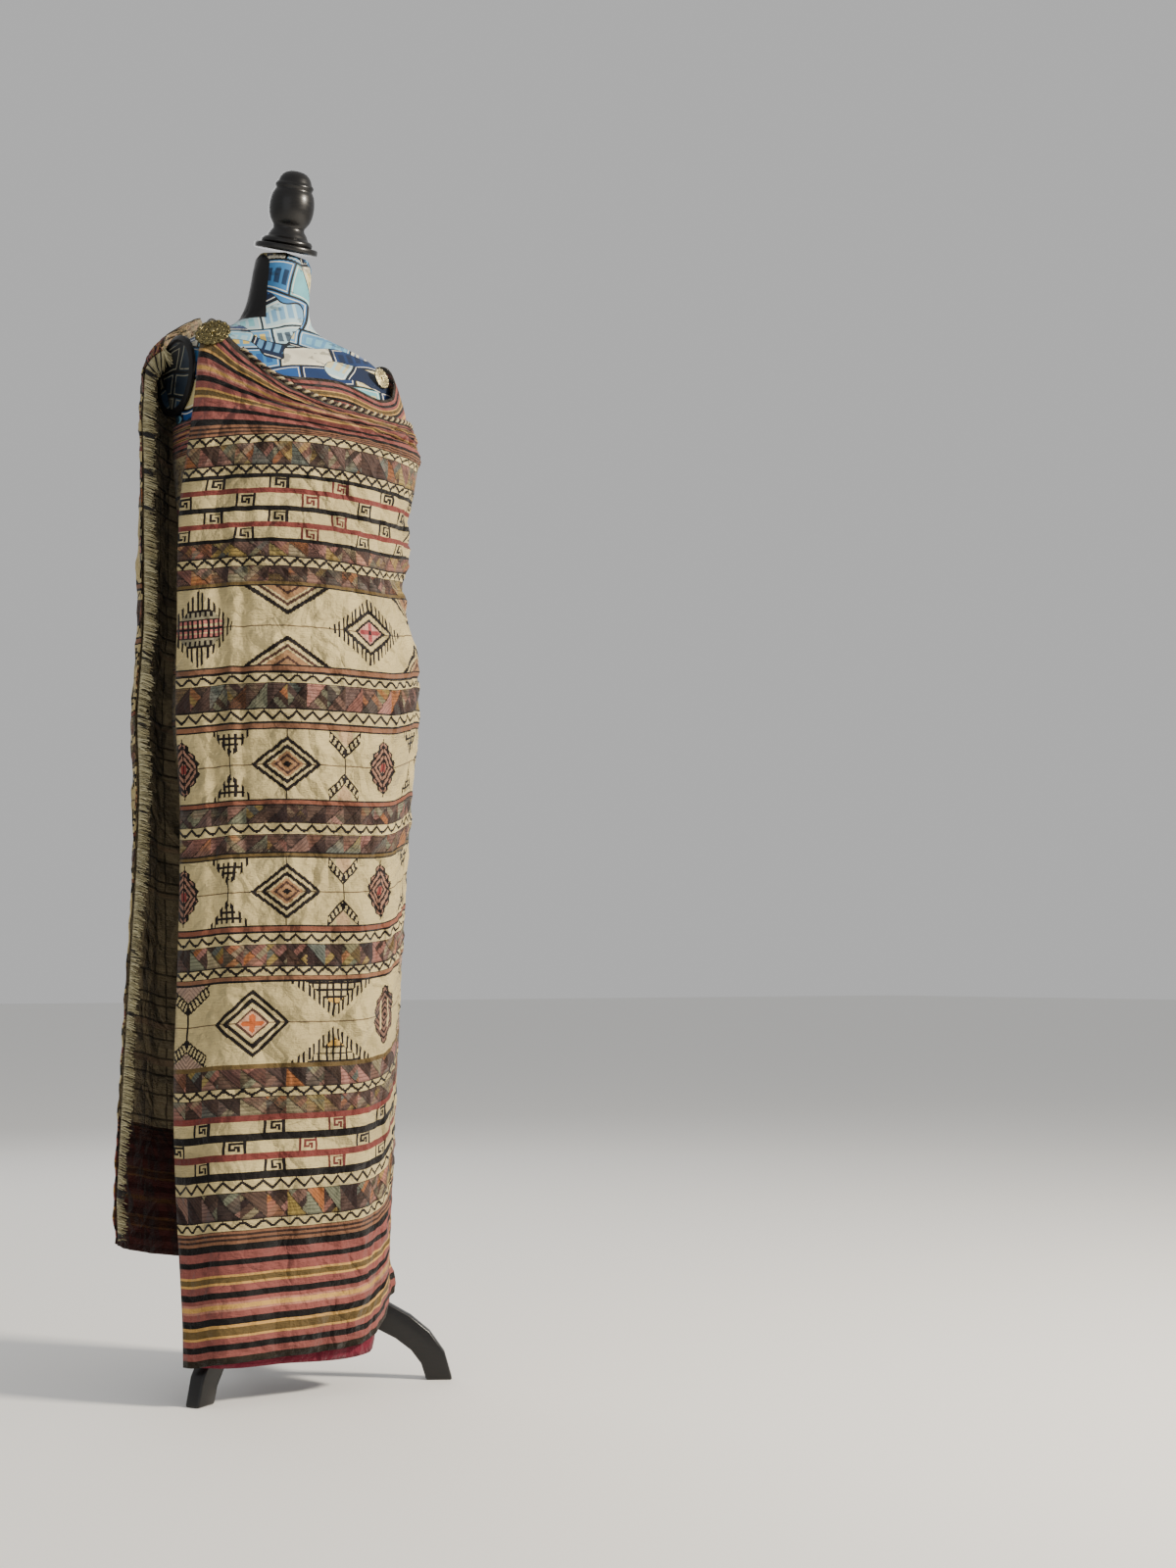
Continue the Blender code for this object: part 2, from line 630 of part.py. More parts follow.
def make_plate(name, side, finish):
    """Flat oval plate with a thicker rim, upright against the torso's side."""
    bm = bmesh.new()
    rings = []
    for share, height in PLATE_RIM:
        ring = []
        for k in range(PLATE_SIDES):
            angle = 2 * math.pi * k / PLATE_SIDES
            y = PLATE_HALF_Y * share * math.cos(angle)
            z = PLATE_HALF_Z * share * math.sin(angle)
            ring.append(bm.verts.new((PLATE_THICK * height, y, z)))
        rings.append(ring)
    for here, after in zip(rings, rings[1:]):
        for k in range(PLATE_SIDES):
            nxt = (k + 1) % PLATE_SIDES
            bm.faces.new((here[k], here[nxt], after[nxt], after[k]))
    bm.faces.new(rings[0])
    bm.faces.new(rings[-1])
    lean = Matrix.Rotation(-PLATE_LEAN, 4, "Y")
    mirror = Matrix.Scale(side, 4, (1.0, 0.0, 0.0))
    flat = TORSO[2].side + GAP
    bm.transform(mirror @ Matrix.Translation((flat, PLATE_MID[0], PLATE_MID[1])) @ lean)
    return from_bmesh(name, bm, finish)


def cylinder(name, r, low, high, sides, finish):
    bm = bmesh.new()
    bmesh.ops.create_cone(
        bm, cap_ends=True, segments=sides, radius1=r, radius2=r, depth=high - low,
        matrix=Matrix.Translation((0.0, 0.0, (low + high) / 2)),
    )
    return from_bmesh(name, bm, finish)


def make_leg(name, turn, finish):
    """Curved board from the hub down to a flat foot."""
    bm = bmesh.new()
    rings = []
    for i, step in enumerate(LEG):
        before = LEG[max(i - 1, 0)]
        after = LEG[min(i + 1, len(LEG) - 1)]
        way = Vector((after.out - before.out, 0.0, after.z - before.z)).normalized()
        if i == 0:
            way = Vector((1.0, 0.0, 0.0))
        if i == len(LEG) - 1:
            way = Vector((0.0, 0.0, -1.0))
        rise = Vector((-way.z, 0.0, way.x))
        side = Vector((0.0, LEG_THICK / 2, 0.0))
        middle = Vector((step.out, 0.0, step.z))
        corners = ((1, 1), (1, -1), (-1, -1), (-1, 1))
        rings.append([bm.verts.new(middle + rise * step.half * a + side * b) for a, b in corners])
    for here, after in zip(rings, rings[1:]):
        for k in range(4):
            nxt = (k + 1) % 4
            bm.faces.new((here[k], here[nxt], after[nxt], after[k]))
    bm.faces.new(rings[0])
    bm.faces.new(rings[-1])
    bm.transform(Matrix.Rotation(math.radians(turn), 4, "Z"))
    return from_bmesh(name, bm, finish)


def main():
    clear_scene()
    cloth = material("woven_cotton_kira", CLOTH_COLOUR, 0.85)
    warp = material("warp_fringe", FRINGE_COLOUR, 0.9)
    braid = material("braided_trim", BRAID_COLOUR, 0.85)
    gilt = material("gilt_brooch", GILT_COLOUR, 0.35, 1.0)
    printed = material("printed_cotton_cover", PRINT_COLOUR, 0.75)
    black = material("black_lacquered_wood", BLACK_COLOUR, 0.25)
    kira = make_kira(cloth)
    torso = make_torso(printed)
    below = [surface_of(kira), surface_of(torso)]
    make_fringe(warp)
    make_braid(braid)
    for row in BROOCHES:
        make_brooch(row, below, gilt)
    turned("neck_cap", CAP_DISC, black, neck_place())
    turned("finial", FINIAL, black, neck_place())
    make_plate("armhole_plate", -1.0, printed)
    cylinder("base_disc", BASE_R, TORSO_BOTTOM - GAP - BASE_THICK, TORSO_BOTTOM - GAP, 32, black)
    cylinder("pole", POLE_R, HUB_TOP + GAP, TORSO_BOTTOM - BASE_THICK - 2 * GAP, 20, black)
    cylinder("hub", HUB_R, HUB_BOTTOM, HUB_TOP, TURN_STEPS, black)
    for i, turn in enumerate(LEG_TURNS):
        make_leg(f"leg_{i + 1}", turn, black)


main()
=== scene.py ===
"""Looks of a hand-woven kira pinned on a dress form, in the part's own frame."""

import logging
import math
from dataclasses import dataclass, field
from enum import Enum
from typing import NamedTuple, Sequence

import bmesh
import bpy
import numpy as np
from mathutils import Matrix, Vector


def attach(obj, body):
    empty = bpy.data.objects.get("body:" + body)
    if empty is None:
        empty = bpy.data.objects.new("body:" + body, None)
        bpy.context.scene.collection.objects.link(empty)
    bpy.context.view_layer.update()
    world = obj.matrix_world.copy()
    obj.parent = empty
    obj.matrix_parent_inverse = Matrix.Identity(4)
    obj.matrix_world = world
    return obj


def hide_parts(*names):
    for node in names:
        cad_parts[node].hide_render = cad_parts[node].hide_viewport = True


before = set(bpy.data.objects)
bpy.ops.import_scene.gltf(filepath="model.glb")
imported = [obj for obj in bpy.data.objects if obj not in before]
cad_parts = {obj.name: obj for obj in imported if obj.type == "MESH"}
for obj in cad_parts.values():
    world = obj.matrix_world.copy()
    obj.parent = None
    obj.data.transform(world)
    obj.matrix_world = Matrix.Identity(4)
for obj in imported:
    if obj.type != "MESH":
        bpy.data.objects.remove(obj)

log = logging.getLogger("kira")

ROOT = "root"
POLE_AT = (0.0323, -0.0374)  # the stand's pole, in metres
CLOTH_WIDTH = 1.404  # selvedge to selvedge, which hangs upright
CLOTH_LENGTH = 2.170  # free end to inner end, along the wrap


# Cloth: how it is wrapped


class Ring(NamedTuple):
    """Plan of the wrap at a height."""

    z: float
    half_x: float
    half_y: float
    mid_y: float
    slack: float


class Station(NamedTuple):
    """A place along the wrap: turns in degrees, outs and heights in metres."""

    at: float
    low_turn: float
    mid_turn: float
    top_turn: float
    low_out: float
    mid_out: float
    top_out: float
    cling: float
    top: float
    bend: float
    hem: float


class Crease(NamedTuple):
    """A soft ridge, or a trough where its height is negative, between two points of the cloth:
    metres along and share of the width up, then its half width and height in metres."""

    at0: float
    up0: float
    at1: float
    up1: float
    wide: float
    high: float


RINGS = [
    Ring(0.00, 0.108, 0.120, 0.000, 0.000),
    Ring(0.10, 0.111, 0.121, 0.000, 0.000),
    Ring(0.30, 0.119, 0.124, 0.000, 0.000),
    Ring(0.60, 0.138, 0.130, 0.000, 0.000),
    Ring(0.80, 0.153, 0.134, 0.000, 0.000),
    Ring(0.92, 0.166, 0.138, 0.000, 0.000),
    Ring(1.03, 0.154, 0.130, 0.000, 0.010),
    Ring(1.11, 0.139, 0.119, 0.000, 0.026),
    Ring(1.18, 0.149, 0.126, 0.002, 0.016),
    Ring(1.26, 0.165, 0.136, 0.004, 0.000),
    Ring(1.34, 0.166, 0.132, 0.012, 0.000),
    Ring(1.38, 0.165, 0.123, 0.024, 0.000),
    Ring(1.41, 0.163, 0.110, 0.033, 0.000),
    Ring(1.44, 0.154, 0.090, 0.041, 0.000),
    Ring(1.46, 0.132, 0.072, 0.046, 0.000),
    Ring(1.48, 0.102, 0.052, 0.048, 0.000),
]

STATIONS = [
    Station(0.000, 175.0, 172.5, 171.0, 0.1310, 0.0480, 0.0120, 0.0, 1.425, 1.388, 0.200),
    Station(0.095, 160.0, 156.0, 163.0, 0.0900, 0.0360, 0.0120, 0.0, 1.478, 1.404, 0.182),
    Station(0.200, 130.0, 127.0, 132.0, 0.0400, 0.0200, 0.0120, 0.3, 1.460, 1.396, 0.162),
    Station(0.300, 92.0, 92.0, 92.0, 0.0180, 0.0130, 0.0100, 0.4, 1.432, 1.372, 0.146),
    Station(0.425, 45.0, 45.0, 45.0, 0.0170, 0.0120, 0.0100, 0.7, 1.380, 1.330, 0.138),
    Station(0.545, 0.0, 0.0, 0.0, 0.0120, 0.0110, 0.0100, 1.0, 1.330, 1.280, 0.128),
    Station(0.625, -32.0, -32.0, -32.0, 0.0140, 0.0110, 0.0110, 1.0, 1.324, 1.272, 0.121),
    Station(0.665, -45.0, -45.0, -45.0, 0.0140, 0.0110, 0.0115, 1.0, 1.319, 1.270, 0.100),
    Station(0.705, -60.0, -60.0, -60.0, 0.0150, 0.0110, 0.0120, 0.9, 1.315, 1.270, 0.075),
    Station(0.790, -92.0, -92.0, -90.0, 0.0150, 0.0110, 0.0120, 0.7, 1.318, 1.272, 0.062),
    Station(0.870, -120.0, -122.0, -117.0, 0.0380, 0.0110, 0.0120, 0.4, 1.339, 1.274, 0.060),
    Station(0.940, -142.0, -146.0, -139.0, 0.0970, 0.0130, 0.0140, 0.1, 1.390, 1.272, 0.057),
    Station(1.008, -153.6, -163.5, -157.0, 0.1105, 0.0385, 0.0150, 0.0, 1.450, 1.268, 0.050),
    Station(1.020, -156.0, -166.6, -159.6, 0.1105, 0.0400, 0.0130, 0.0, 1.452, 1.268, 0.050),
    Station(1.032, -154.2, -164.8, -157.5, 0.1035, 0.0335, 0.0090, 0.0, 1.450, 1.268, 0.050),
    Station(1.098, -142.0, -146.0, -139.0, 0.0905, 0.0065, 0.0080, 0.1, 1.396, 1.266, 0.050),
    Station(1.168, -120.0, -122.0, -117.0, 0.0320, 0.0058, 0.0062, 0.4, 1.358, 1.266, 0.049),
    Station(1.248, -92.0, -92.0, -90.0, 0.0090, 0.0058, 0.0062, 0.7, 1.360, 1.266, 0.046),
    Station(1.333, -60.0, -60.0, -60.0, 0.0100, 0.0058, 0.0062, 0.9, 1.346, 1.264, 0.048),
    Station(1.373, -45.0, -45.0, -45.0, 0.0085, 0.0058, 0.0062, 1.0, 1.358, 1.266, 0.094),
    Station(1.412, -32.0, -32.0, -32.0, 0.0085, 0.0058, 0.0062, 1.0, 1.386, 1.270, 0.124),
    Station(1.492, 0.0, 0.0, 0.0, 0.0075, 0.0058, 0.0062, 1.0, 1.440, 1.290, 0.130),
    Station(1.610, 45.0, 45.0, 45.0, 0.0110, 0.0060, 0.0055, 0.7, 1.412, 1.300, 0.126),
    Station(1.730, 92.0, 92.0, 92.0, 0.0110, 0.0060, 0.0050, 0.4, 1.390, 1.295, 0.140),
    Station(1.830, 130.0, 130.0, 130.0, 0.0100, 0.0040, 0.0030, 0.3, 1.340, 1.280, 0.132),
    Station(1.960, 180.0, 180.0, 180.0, 0.0100, 0.0030, 0.0014, 0.6, 1.306, 1.258, 0.128),
    Station(2.075, 219.0, 219.0, 219.0, 0.0080, 0.0020, 0.0014, 0.9, 1.306, 1.256, 0.124),
    Station(2.170, 257.0, 257.0, 257.0, 0.0020, 0.0010, 0.0010, 1.0, 1.306, 1.256, 0.085),
]

FOLDS = [
    Crease(0.575, 0.950, 0.86, 0.935, 0.026, 0.0070),
    Crease(0.560, 0.885, 0.74, 0.900, 0.026, 0.0090),
    Crease(0.560, 0.745, 0.70, 0.800, 0.018, 0.0080),
    Crease(0.550, 0.700, 0.67, 0.655, 0.018, 0.0070),
    Crease(0.600, 0.300, 0.61, 0.020, 0.024, 0.0040),
    Crease(0.605, 0.000, 0.635, 0.008, 0.024, 0.0120),
    Crease(0.500, 0.500, 0.50, 0.020, 0.026, 0.0060),
    Crease(0.400, 0.600, 0.39, 0.000, 0.028, 0.0090),
    Crease(0.310, 0.640, 0.31, 0.000, 0.028, 0.0100),
    Crease(0.180, 0.850, 0.16, 0.000, 0.026, 0.0120),
    Crease(0.085, 0.900, 0.075, 0.00, 0.020, 0.0100),
]

CREASES = [
    Crease(0.600, 0.925, 0.900, 0.955, 0.0110, 0.0060),
    Crease(0.620, 0.900, 0.850, 0.925, 0.0100, 0.0052),
    Crease(0.565, 0.965, 0.800, 0.978, 0.0100, 0.0046),
    Crease(0.700, 0.945, 0.960, 0.975, 0.0090, 0.0040),
    Crease(0.565, 0.775, 0.690, 0.830, 0.0090, 0.0070),
    Crease(0.560, 0.720, 0.660, 0.742, 0.0080, 0.0068),
    Crease(0.575, 0.680, 0.640, 0.640, 0.0070, 0.0054),
    Crease(0.924, 0.880, 0.921, 0.300, 0.0065, -0.0034),
    Crease(0.938, 0.880, 0.935, 0.300, 0.0075, 0.0034),
    Crease(0.966, 0.860, 0.964, 0.350, 0.0060, -0.0026),
    Crease(0.978, 0.860, 0.976, 0.350, 0.0065, 0.0028),
    Crease(0.840, 0.640, 0.836, 0.200, 0.0070, 0.0030),
    Crease(0.700, 0.930, 0.990, 0.905, 0.0100, 0.0046),
    Crease(0.640, 0.945, 0.780, 0.915, 0.0100, 0.0052),
    Crease(0.860, 0.965, 0.990, 0.930, 0.0090, 0.0042),
    Crease(0.720, 0.880, 0.900, 0.868, 0.0100, 0.0046),
    Crease(0.570, 0.800, 0.640, 0.760, 0.0080, 0.0072),
    Crease(0.570, 0.660, 0.620, 0.625, 0.0080, 0.0046),
    Crease(0.600, 0.500, 0.660, 0.480, 0.0100, 0.0034),
    Crease(0.610, 0.360, 0.680, 0.400, 0.0100, 0.0034),
    Crease(0.880, 0.700, 0.940, 0.688, 0.0060, 0.0024),
    Crease(0.900, 0.735, 0.960, 0.742, 0.0060, 0.0020),
    Crease(0.730, 0.620, 0.790, 0.560, 0.0090, 0.0026),
    Crease(0.700, 0.540, 0.760, 0.520, 0.0080, 0.0022),
    Crease(0.705, 0.420, 0.790, 0.400, 0.0090, 0.0024),
    Crease(0.690, 0.260, 0.780, 0.330, 0.0090, 0.0026),
    Crease(0.760, 0.780, 0.860, 0.800, 0.0090, 0.0022),
    Crease(0.900, 0.855, 0.990, 0.845, 0.0080, 0.0022),
    Crease(0.760, 0.140, 0.750, 0.000, 0.0220, 0.0026),
    Crease(0.860, 0.110, 0.870, 0.000, 0.0180, 0.0024),
    Crease(0.690, 0.110, 0.660, 0.000, 0.0160, 0.0030),
    Crease(0.030, 0.700, 0.130, 0.640, 0.0100, 0.0030),
    Crease(0.020, 0.480, 0.120, 0.400, 0.0100, 0.0028),
    Crease(0.030, 0.300, 0.130, 0.220, 0.0110, 0.0030),
    Crease(0.030, 0.820, 0.120, 0.800, 0.0090, 0.0026),
]


def slopes(xs: np.ndarray, ys: np.ndarray) -> np.ndarray:
    """Slopes at the knots that keep a cubic through them free of overshoot.

    Args:
        xs: Places of the knots, rising.
        ys: Values at the knots.

    Returns:
        One slope for each knot.
    """
    step = np.diff(xs)
    rise = np.diff(ys) / step
    out = np.zeros_like(ys)
    same = rise[:-1] * rise[1:] > 0
    before = 2 * step[1:] + step[:-1]
    after = step[1:] + 2 * step[:-1]
    safe = np.where(same[:, None], np.stack([rise[:-1], rise[1:]], 1), 1.0)
    out[1:-1] = np.where(same, (before + after) / (before / safe[:, 0] + after / safe[:, 1]), 0.0)
    out[0] = rise[0]
    out[-1] = rise[-1]
    return out


def smooth_curve(xs: Sequence[float], ys: Sequence[float], x: np.ndarray) -> np.ndarray:
    """Smooth curve through knots, straight beyond its ends.

    Args:
        xs: Places of the knots, rising.
        ys: Values at the knots.
        x: Places to read.

    Returns:
        The curve's values at x.
    """
    xs = np.asarray(xs, float)
    ys = np.asarray(ys, float)
    x = np.asarray(x, float)
    tilt = slopes(xs, ys)
    i = np.clip(np.searchsorted(xs, x) - 1, 0, len(xs) - 2)
    step = xs[i + 1] - xs[i]
    t = np.clip((x - xs[i]) / step, 0.0, 1.0)
    start = (2 * t**3 - 3 * t**2 + 1) * ys[i] + (t**3 - 2 * t**2 + t) * step * tilt[i]
    end = (3 * t**2 - 2 * t**3) * ys[i + 1] + (t**3 - t**2) * step * tilt[i + 1]
    beyond = np.minimum(x - xs[0], 0.0) * tilt[0] + np.maximum(x - xs[-1], 0.0) * tilt[-1]
    return start + end + beyond


@dataclass(frozen=True)
class Drape:
    """The wrapped shape of the cloth, in metres."""

    bend_at: float = 0.879
    height_knots: tuple[float, ...] = (0.0, 0.45, 0.85, 0.879)
    turn_levels: tuple[float, ...] = (0.04, 0.30, 0.72, 0.97)
    out_levels: tuple[float, ...] = (0.04, 0.66, 0.80, 0.97)
    rumple: float = 0.0019
    seed: int = 7

    def crease_height(self, at: float, ups: np.ndarray, rows: Sequence[Crease]) -> np.ndarray:
        """Height of the given ridges along one column of the cloth.

        Args:
            at: Place along the cloth.
            ups: Shares of the width up the column.
            rows: The ridges.

        Returns:
            Heights off the plain wrap.
        """
        total = np.zeros_like(ups)
        for row in rows:
            along = np.array((row.at1 - row.at0, (row.up1 - row.up0) * CLOTH_WIDTH))
            here = np.stack([np.full_like(ups, at - row.at0), (ups - row.up0) * CLOTH_WIDTH], 1)
            near = np.clip(here @ along / (along @ along), 0.0, 1.0)
            away = np.linalg.norm(here - near[:, None] * along, axis=1)
            ends = np.sin(math.pi * (0.12 + 0.76 * near))
            total += row.high * ends * np.exp(-((away / row.wide) ** 2))
        return total

    def hanging(self, at: float, ups: np.ndarray) -> np.ndarray:
        """Long soft waves where the front swings clear of the form.

        Args:
            at: Place along the cloth.
            ups: Shares of the width up the column.

        Returns:
            Heights off the plain wrap, none of them below it.
        """
        slack = np.clip((0.86 - ups) / 0.5, 0.0, 1.0)
        lean = at + 0.06 * (1.0 - ups)
        wave = 0.5 + 0.5 * np.sin(2 * math.pi * lean / 0.088 + 0.9 * np.sin(5.0 * ups))
        wave += 0.5 * (0.5 + 0.5 * np.sin(2 * math.pi * lean / 0.053 + 2.0))
        return 0.0026 * slack * wave

    def rumples(self, at: float, ups: np.ndarray) -> np.ndarray:
        """Small uneven swellings of cloth that has been stored folded.

        Args:
            at: Place along the cloth.
            ups: Shares of the width up the column.

        Returns:
            Heights off the plain wrap, none of them below it.
        """
        rng = np.random.default_rng(self.seed)
        total = np.zeros_like(ups)
        for _ in range(18):
            long_u = rng.uniform(0.035, 0.11)
            long_v = rng.uniform(0.045, 0.16) * rng.choice((-1.0, 1.0))
            phase = rng.uniform(0.0, 2 * math.pi)
            wave = np.sin(2 * math.pi * (at / long_u + ups * CLOTH_WIDTH / long_v) + phase)
            total += 1.0 - np.abs(wave) ** 0.8
        return self.rumple * total / 3.0

    def column(self, at: float, ups: np.ndarray, fine: bool = True) -> np.ndarray:
        """Points of the cloth's middle up one column.

        Args:
            at: Place along the cloth.
            ups: Shares of the width.
            fine: Whether small creases are wanted as well.

        Returns:
            One point for each share.
        """
        knots = [s.at for s in STATIONS]
        row = {
            name: float(smooth_curve(knots, [getattr(s, name) for s in STATIONS], np.array(at)))
            for name in Station._fields[1:]
        }
        drop = (row["bend"] - row["hem"]) / self.bend_at
        heights = [row["hem"] + drop * share for share in self.height_knots] + [row["top"]]
        z = smooth_curve((*self.height_knots, 1.0), heights, ups)
        level = np.clip(ups, self.turn_levels[0], self.turn_levels[-1])
        turns = [row["low_turn"], row["mid_turn"], row["mid_turn"], row["top_turn"]]
        outs = [row["low_out"], row["mid_out"], row["mid_out"], row["top_out"]]
        turn = np.radians(smooth_curve(self.turn_levels, turns, level))
        out = smooth_curve(self.out_levels, outs, level)
        ring_z = [r.z for r in RINGS]
        half_x, half_y, mid_y, slack = (
            smooth_curve(ring_z, [getattr(r, name) for r in RINGS], z) for name in Ring._fields[1:]
        )
        out = out + slack * (1.0 - row["cling"])
        fade = min(max((1.0 - at) / 0.05, 0.0), 1.0)
        if fade > 0.0:
            out = out + fade * self.crease_height(at, ups, FOLDS)
            if fine:
                small = self.crease_height(at, ups, CREASES) + self.rumples(at, ups)
                out = out + fade * (small + self.hanging(at, ups))
        cos = np.cos(turn)
        sin = np.sin(turn)
        radius = 1.0 / np.hypot(cos / half_x, sin / half_y) + out
        return np.stack([radius * cos + POLE_AT[0], radius * sin + mid_y + POLE_AT[1], z], 1)

    def point(self, at: float, up: float) -> Vector:
        """One point of the cloth without its small creases."""
        return Vector(self.column(at, np.array([up]), fine=False)[0])

    def normal(self, at: float, up: float) -> Vector:
        """Direction away from the form on the outer layer.

        Args:
            at: Place along the cloth.
            up: Share of the width.

        Returns:
            The direction, of length 1.
        """
        small = 0.002
        along = self.point(at + small, up) - self.point(at - small, up)
        across = self.point(at, min(up + small, 1.0)) - self.point(at, max(up - small, 0.0))
        return across.cross(along).normalized()


# Cloth: what is woven into it


class Kind(Enum):
    """What a band across the cloth holds."""

    PLAIN = 0
    ZIGZAG = 1
    LEAN_LEFT = 2
    LEAN_RIGHT = 3
    SMALL_ODD = 4
    SMALL_EVEN = 5
    FIELD_TOP = 6
    FIELD_MIDDLE = 7
    FIELD_LOW = 8


CREAM = "#b7a678"
BLACK = "#120e0d"
RED = "#6d342f"
ROSE = "#834b45"
SALMON = "#a3705f"
GOLD = "#b98f50"
OLIVE = "#5e4c2c"
TAN = "#7c563f"
BROWN = "#33221c"
HEM = "#241d14"
MAROON = "#6a2030"
RUST = "#7a4a38"

RELIEF = 0.0175  # metres for a height of 1 in the cloth's creases
RIBS = 0.10  # share of it that the weave's ribs take


class Band(NamedTuple):
    """A band across the cloth up to a height in millimetres above the hem."""

    top: float
    kind: Kind
    colour: str


BORDER = [
    Band(9, Kind.PLAIN, HEM),
    Band(18, Kind.PLAIN, ROSE),
    Band(26, Kind.PLAIN, BLACK),
    Band(34, Kind.PLAIN, ROSE),
    Band(37, Kind.PLAIN, GOLD),
    Band(47, Kind.PLAIN, OLIVE),
    Band(51, Kind.PLAIN, GOLD),
    Band(60, Kind.PLAIN, BLACK),
    Band(68, Kind.PLAIN, ROSE),
    Band(71, Kind.PLAIN, SALMON),
    Band(77, Kind.PLAIN, GOLD),
    Band(80, Kind.PLAIN, SALMON),
    Band(85, Kind.PLAIN, ROSE),
    Band(93, Kind.PLAIN, BLACK),
    Band(102, Kind.PLAIN, ROSE),
    Band(105, Kind.PLAIN, GOLD),
    Band(112, Kind.PLAIN, OLIVE),
    Band(115, Kind.PLAIN, GOLD),
    Band(127, Kind.PLAIN, ROSE),
    Band(134, Kind.PLAIN, BLACK),
    Band(145, Kind.PLAIN, ROSE),
    Band(154, Kind.PLAIN, BLACK),
    Band(158, Kind.PLAIN, TAN),
    Band(161, Kind.PLAIN, BROWN),
    Band(164, Kind.PLAIN, TAN),
    Band(167, Kind.PLAIN, BROWN),
    Band(170, Kind.PLAIN, TAN),
]

MIDDLE = [
    Band(185, Kind.ZIGZAG, CREAM),
    Band(219, Kind.LEAN_LEFT, BROWN),
    Band(238, Kind.ZIGZAG, CREAM),
    Band(246, Kind.PLAIN, BLACK),
    Band(261, Kind.SMALL_EVEN, CREAM),
    Band(270, Kind.PLAIN, RED),
    Band(286, Kind.SMALL_ODD, CREAM),
    Band(296, Kind.PLAIN, BLACK),
    Band(312, Kind.SMALL_EVEN, CREAM),
    Band(320, Kind.PLAIN, RED),
    Band(343, Kind.LEAN_LEFT, BROWN),
    Band(356, Kind.ZIGZAG, CREAM),
    Band(381, Kind.LEAN_LEFT, BROWN),
    Band(387, Kind.PLAIN, OLIVE),
    Band(495, Kind.FIELD_LOW, CREAM),
    Band(498, Kind.PLAIN, BLACK),
    Band(503, Kind.PLAIN, TAN),
    Band(517, Kind.ZIGZAG, CREAM),
    Band(545, Kind.LEAN_LEFT, BROWN),
    Band(561, Kind.ZIGZAG, CREAM),
    Band(563, Kind.PLAIN, BLACK),
    Band(569, Kind.PLAIN, RUST),
    Band(571, Kind.PLAIN, BLACK),
    Band(661, Kind.FIELD_MIDDLE, CREAM),
    Band(663, Kind.PLAIN, BLACK),
    Band(667, Kind.PLAIN, OLIVE),
    Band(669, Kind.PLAIN, BLACK),
    Band(692, Kind.LEAN_RIGHT, BROWN),
    Band(708, Kind.ZIGZAG, CREAM),
    Band(731, Kind.LEAN_RIGHT, BROWN),
    Band(733, Kind.PLAIN, BLACK),
    Band(738, Kind.PLAIN, RUST),
    Band(740, Kind.PLAIN, BLACK),
    Band(833, Kind.FIELD_MIDDLE, CREAM),
    Band(835, Kind.PLAIN, BLACK),
    Band(841, Kind.PLAIN, TAN),
    Band(843, Kind.PLAIN, BLACK),
    Band(862, Kind.ZIGZAG, CREAM),
    Band(895, Kind.LEAN_RIGHT, BROWN),
    Band(910, Kind.ZIGZAG, CREAM),
    Band(912, Kind.PLAIN, BLACK),
    Band(918, Kind.PLAIN, TAN),
    Band(920, Kind.PLAIN, BLACK),
    Band(1027, Kind.FIELD_TOP, CREAM),
    Band(1029, Kind.PLAIN, BLACK),
    Band(1033, Kind.PLAIN, OLIVE),
    Band(1054, Kind.LEAN_LEFT, BROWN),
    Band(1068, Kind.ZIGZAG, CREAM),
    Band(1087, Kind.LEAN_LEFT, BROWN),
    Band(1092, Kind.PLAIN, BLACK),
    Band(1107, Kind.SMALL_ODD, CREAM),
    Band(1114, Kind.PLAIN, RED),
    Band(1129, Kind.SMALL_EVEN, CREAM),
    Band(1136, Kind.PLAIN, BLACK),
    Band(1153, Kind.SMALL_ODD, CREAM),
    Band(1160, Kind.PLAIN, RED),
    Band(1174, Kind.SMALL_EVEN, CREAM),
    Band(1179, Kind.PLAIN, BLACK),
    Band(1193, Kind.ZIGZAG, CREAM),
    Band(1220, Kind.LEAN_LEFT, BROWN),
    Band(1234, Kind.ZIGZAG, CREAM),
]


def all_bands() -> list[Band]:
    """Lists the bands from hem to top selvedge, whose border mirrors the hem's.

    Returns:
        Every band, from the lowest.
    """
    whole = CLOTH_WIDTH * 1000
    lows = [0.0] + [band.top for band in BORDER[:-1]]
    mirrored = [Band(whole - low, band.kind, band.colour) for low, band in zip(lows, BORDER)]
    return BORDER + MIDDLE + mirrored[::-1]


# Materials: shared helpers


def linear(code: str) -> tuple[float, float, float, float]:
    """Turns an sRGB hex code into a linear colour.

    Args:
        code: The colour as "#rrggbb".

    Returns:
        Linear red, green and blue, with full alpha.
    """
    parts = [int(code[i : i + 2], 16) / 255 for i in (1, 3, 5)]
    red, green, blue = (p / 12.92 if p <= 0.04045 else ((p + 0.055) / 1.055) ** 2.4 for p in parts)
    return (red, green, blue, 1.0)


def feed(
    tree: bpy.types.NodeTree,
    target: bpy.types.NodeSocket,
    value: "bpy.types.NodeSocket | Field | str | float | tuple",
) -> None:
    """Links an input to a socket or field, or sets it to a colour or number.

    Args:
        tree: Node tree of the input.
        target: The input.
        value: What it gets; a hex code is a colour.
    """
    if isinstance(value, Field):
        value = value.socket
    if isinstance(value, bpy.types.NodeSocket):
        tree.links.new(value, target)
    else:
        target.default_value = linear(value) if isinstance(value, str) else value


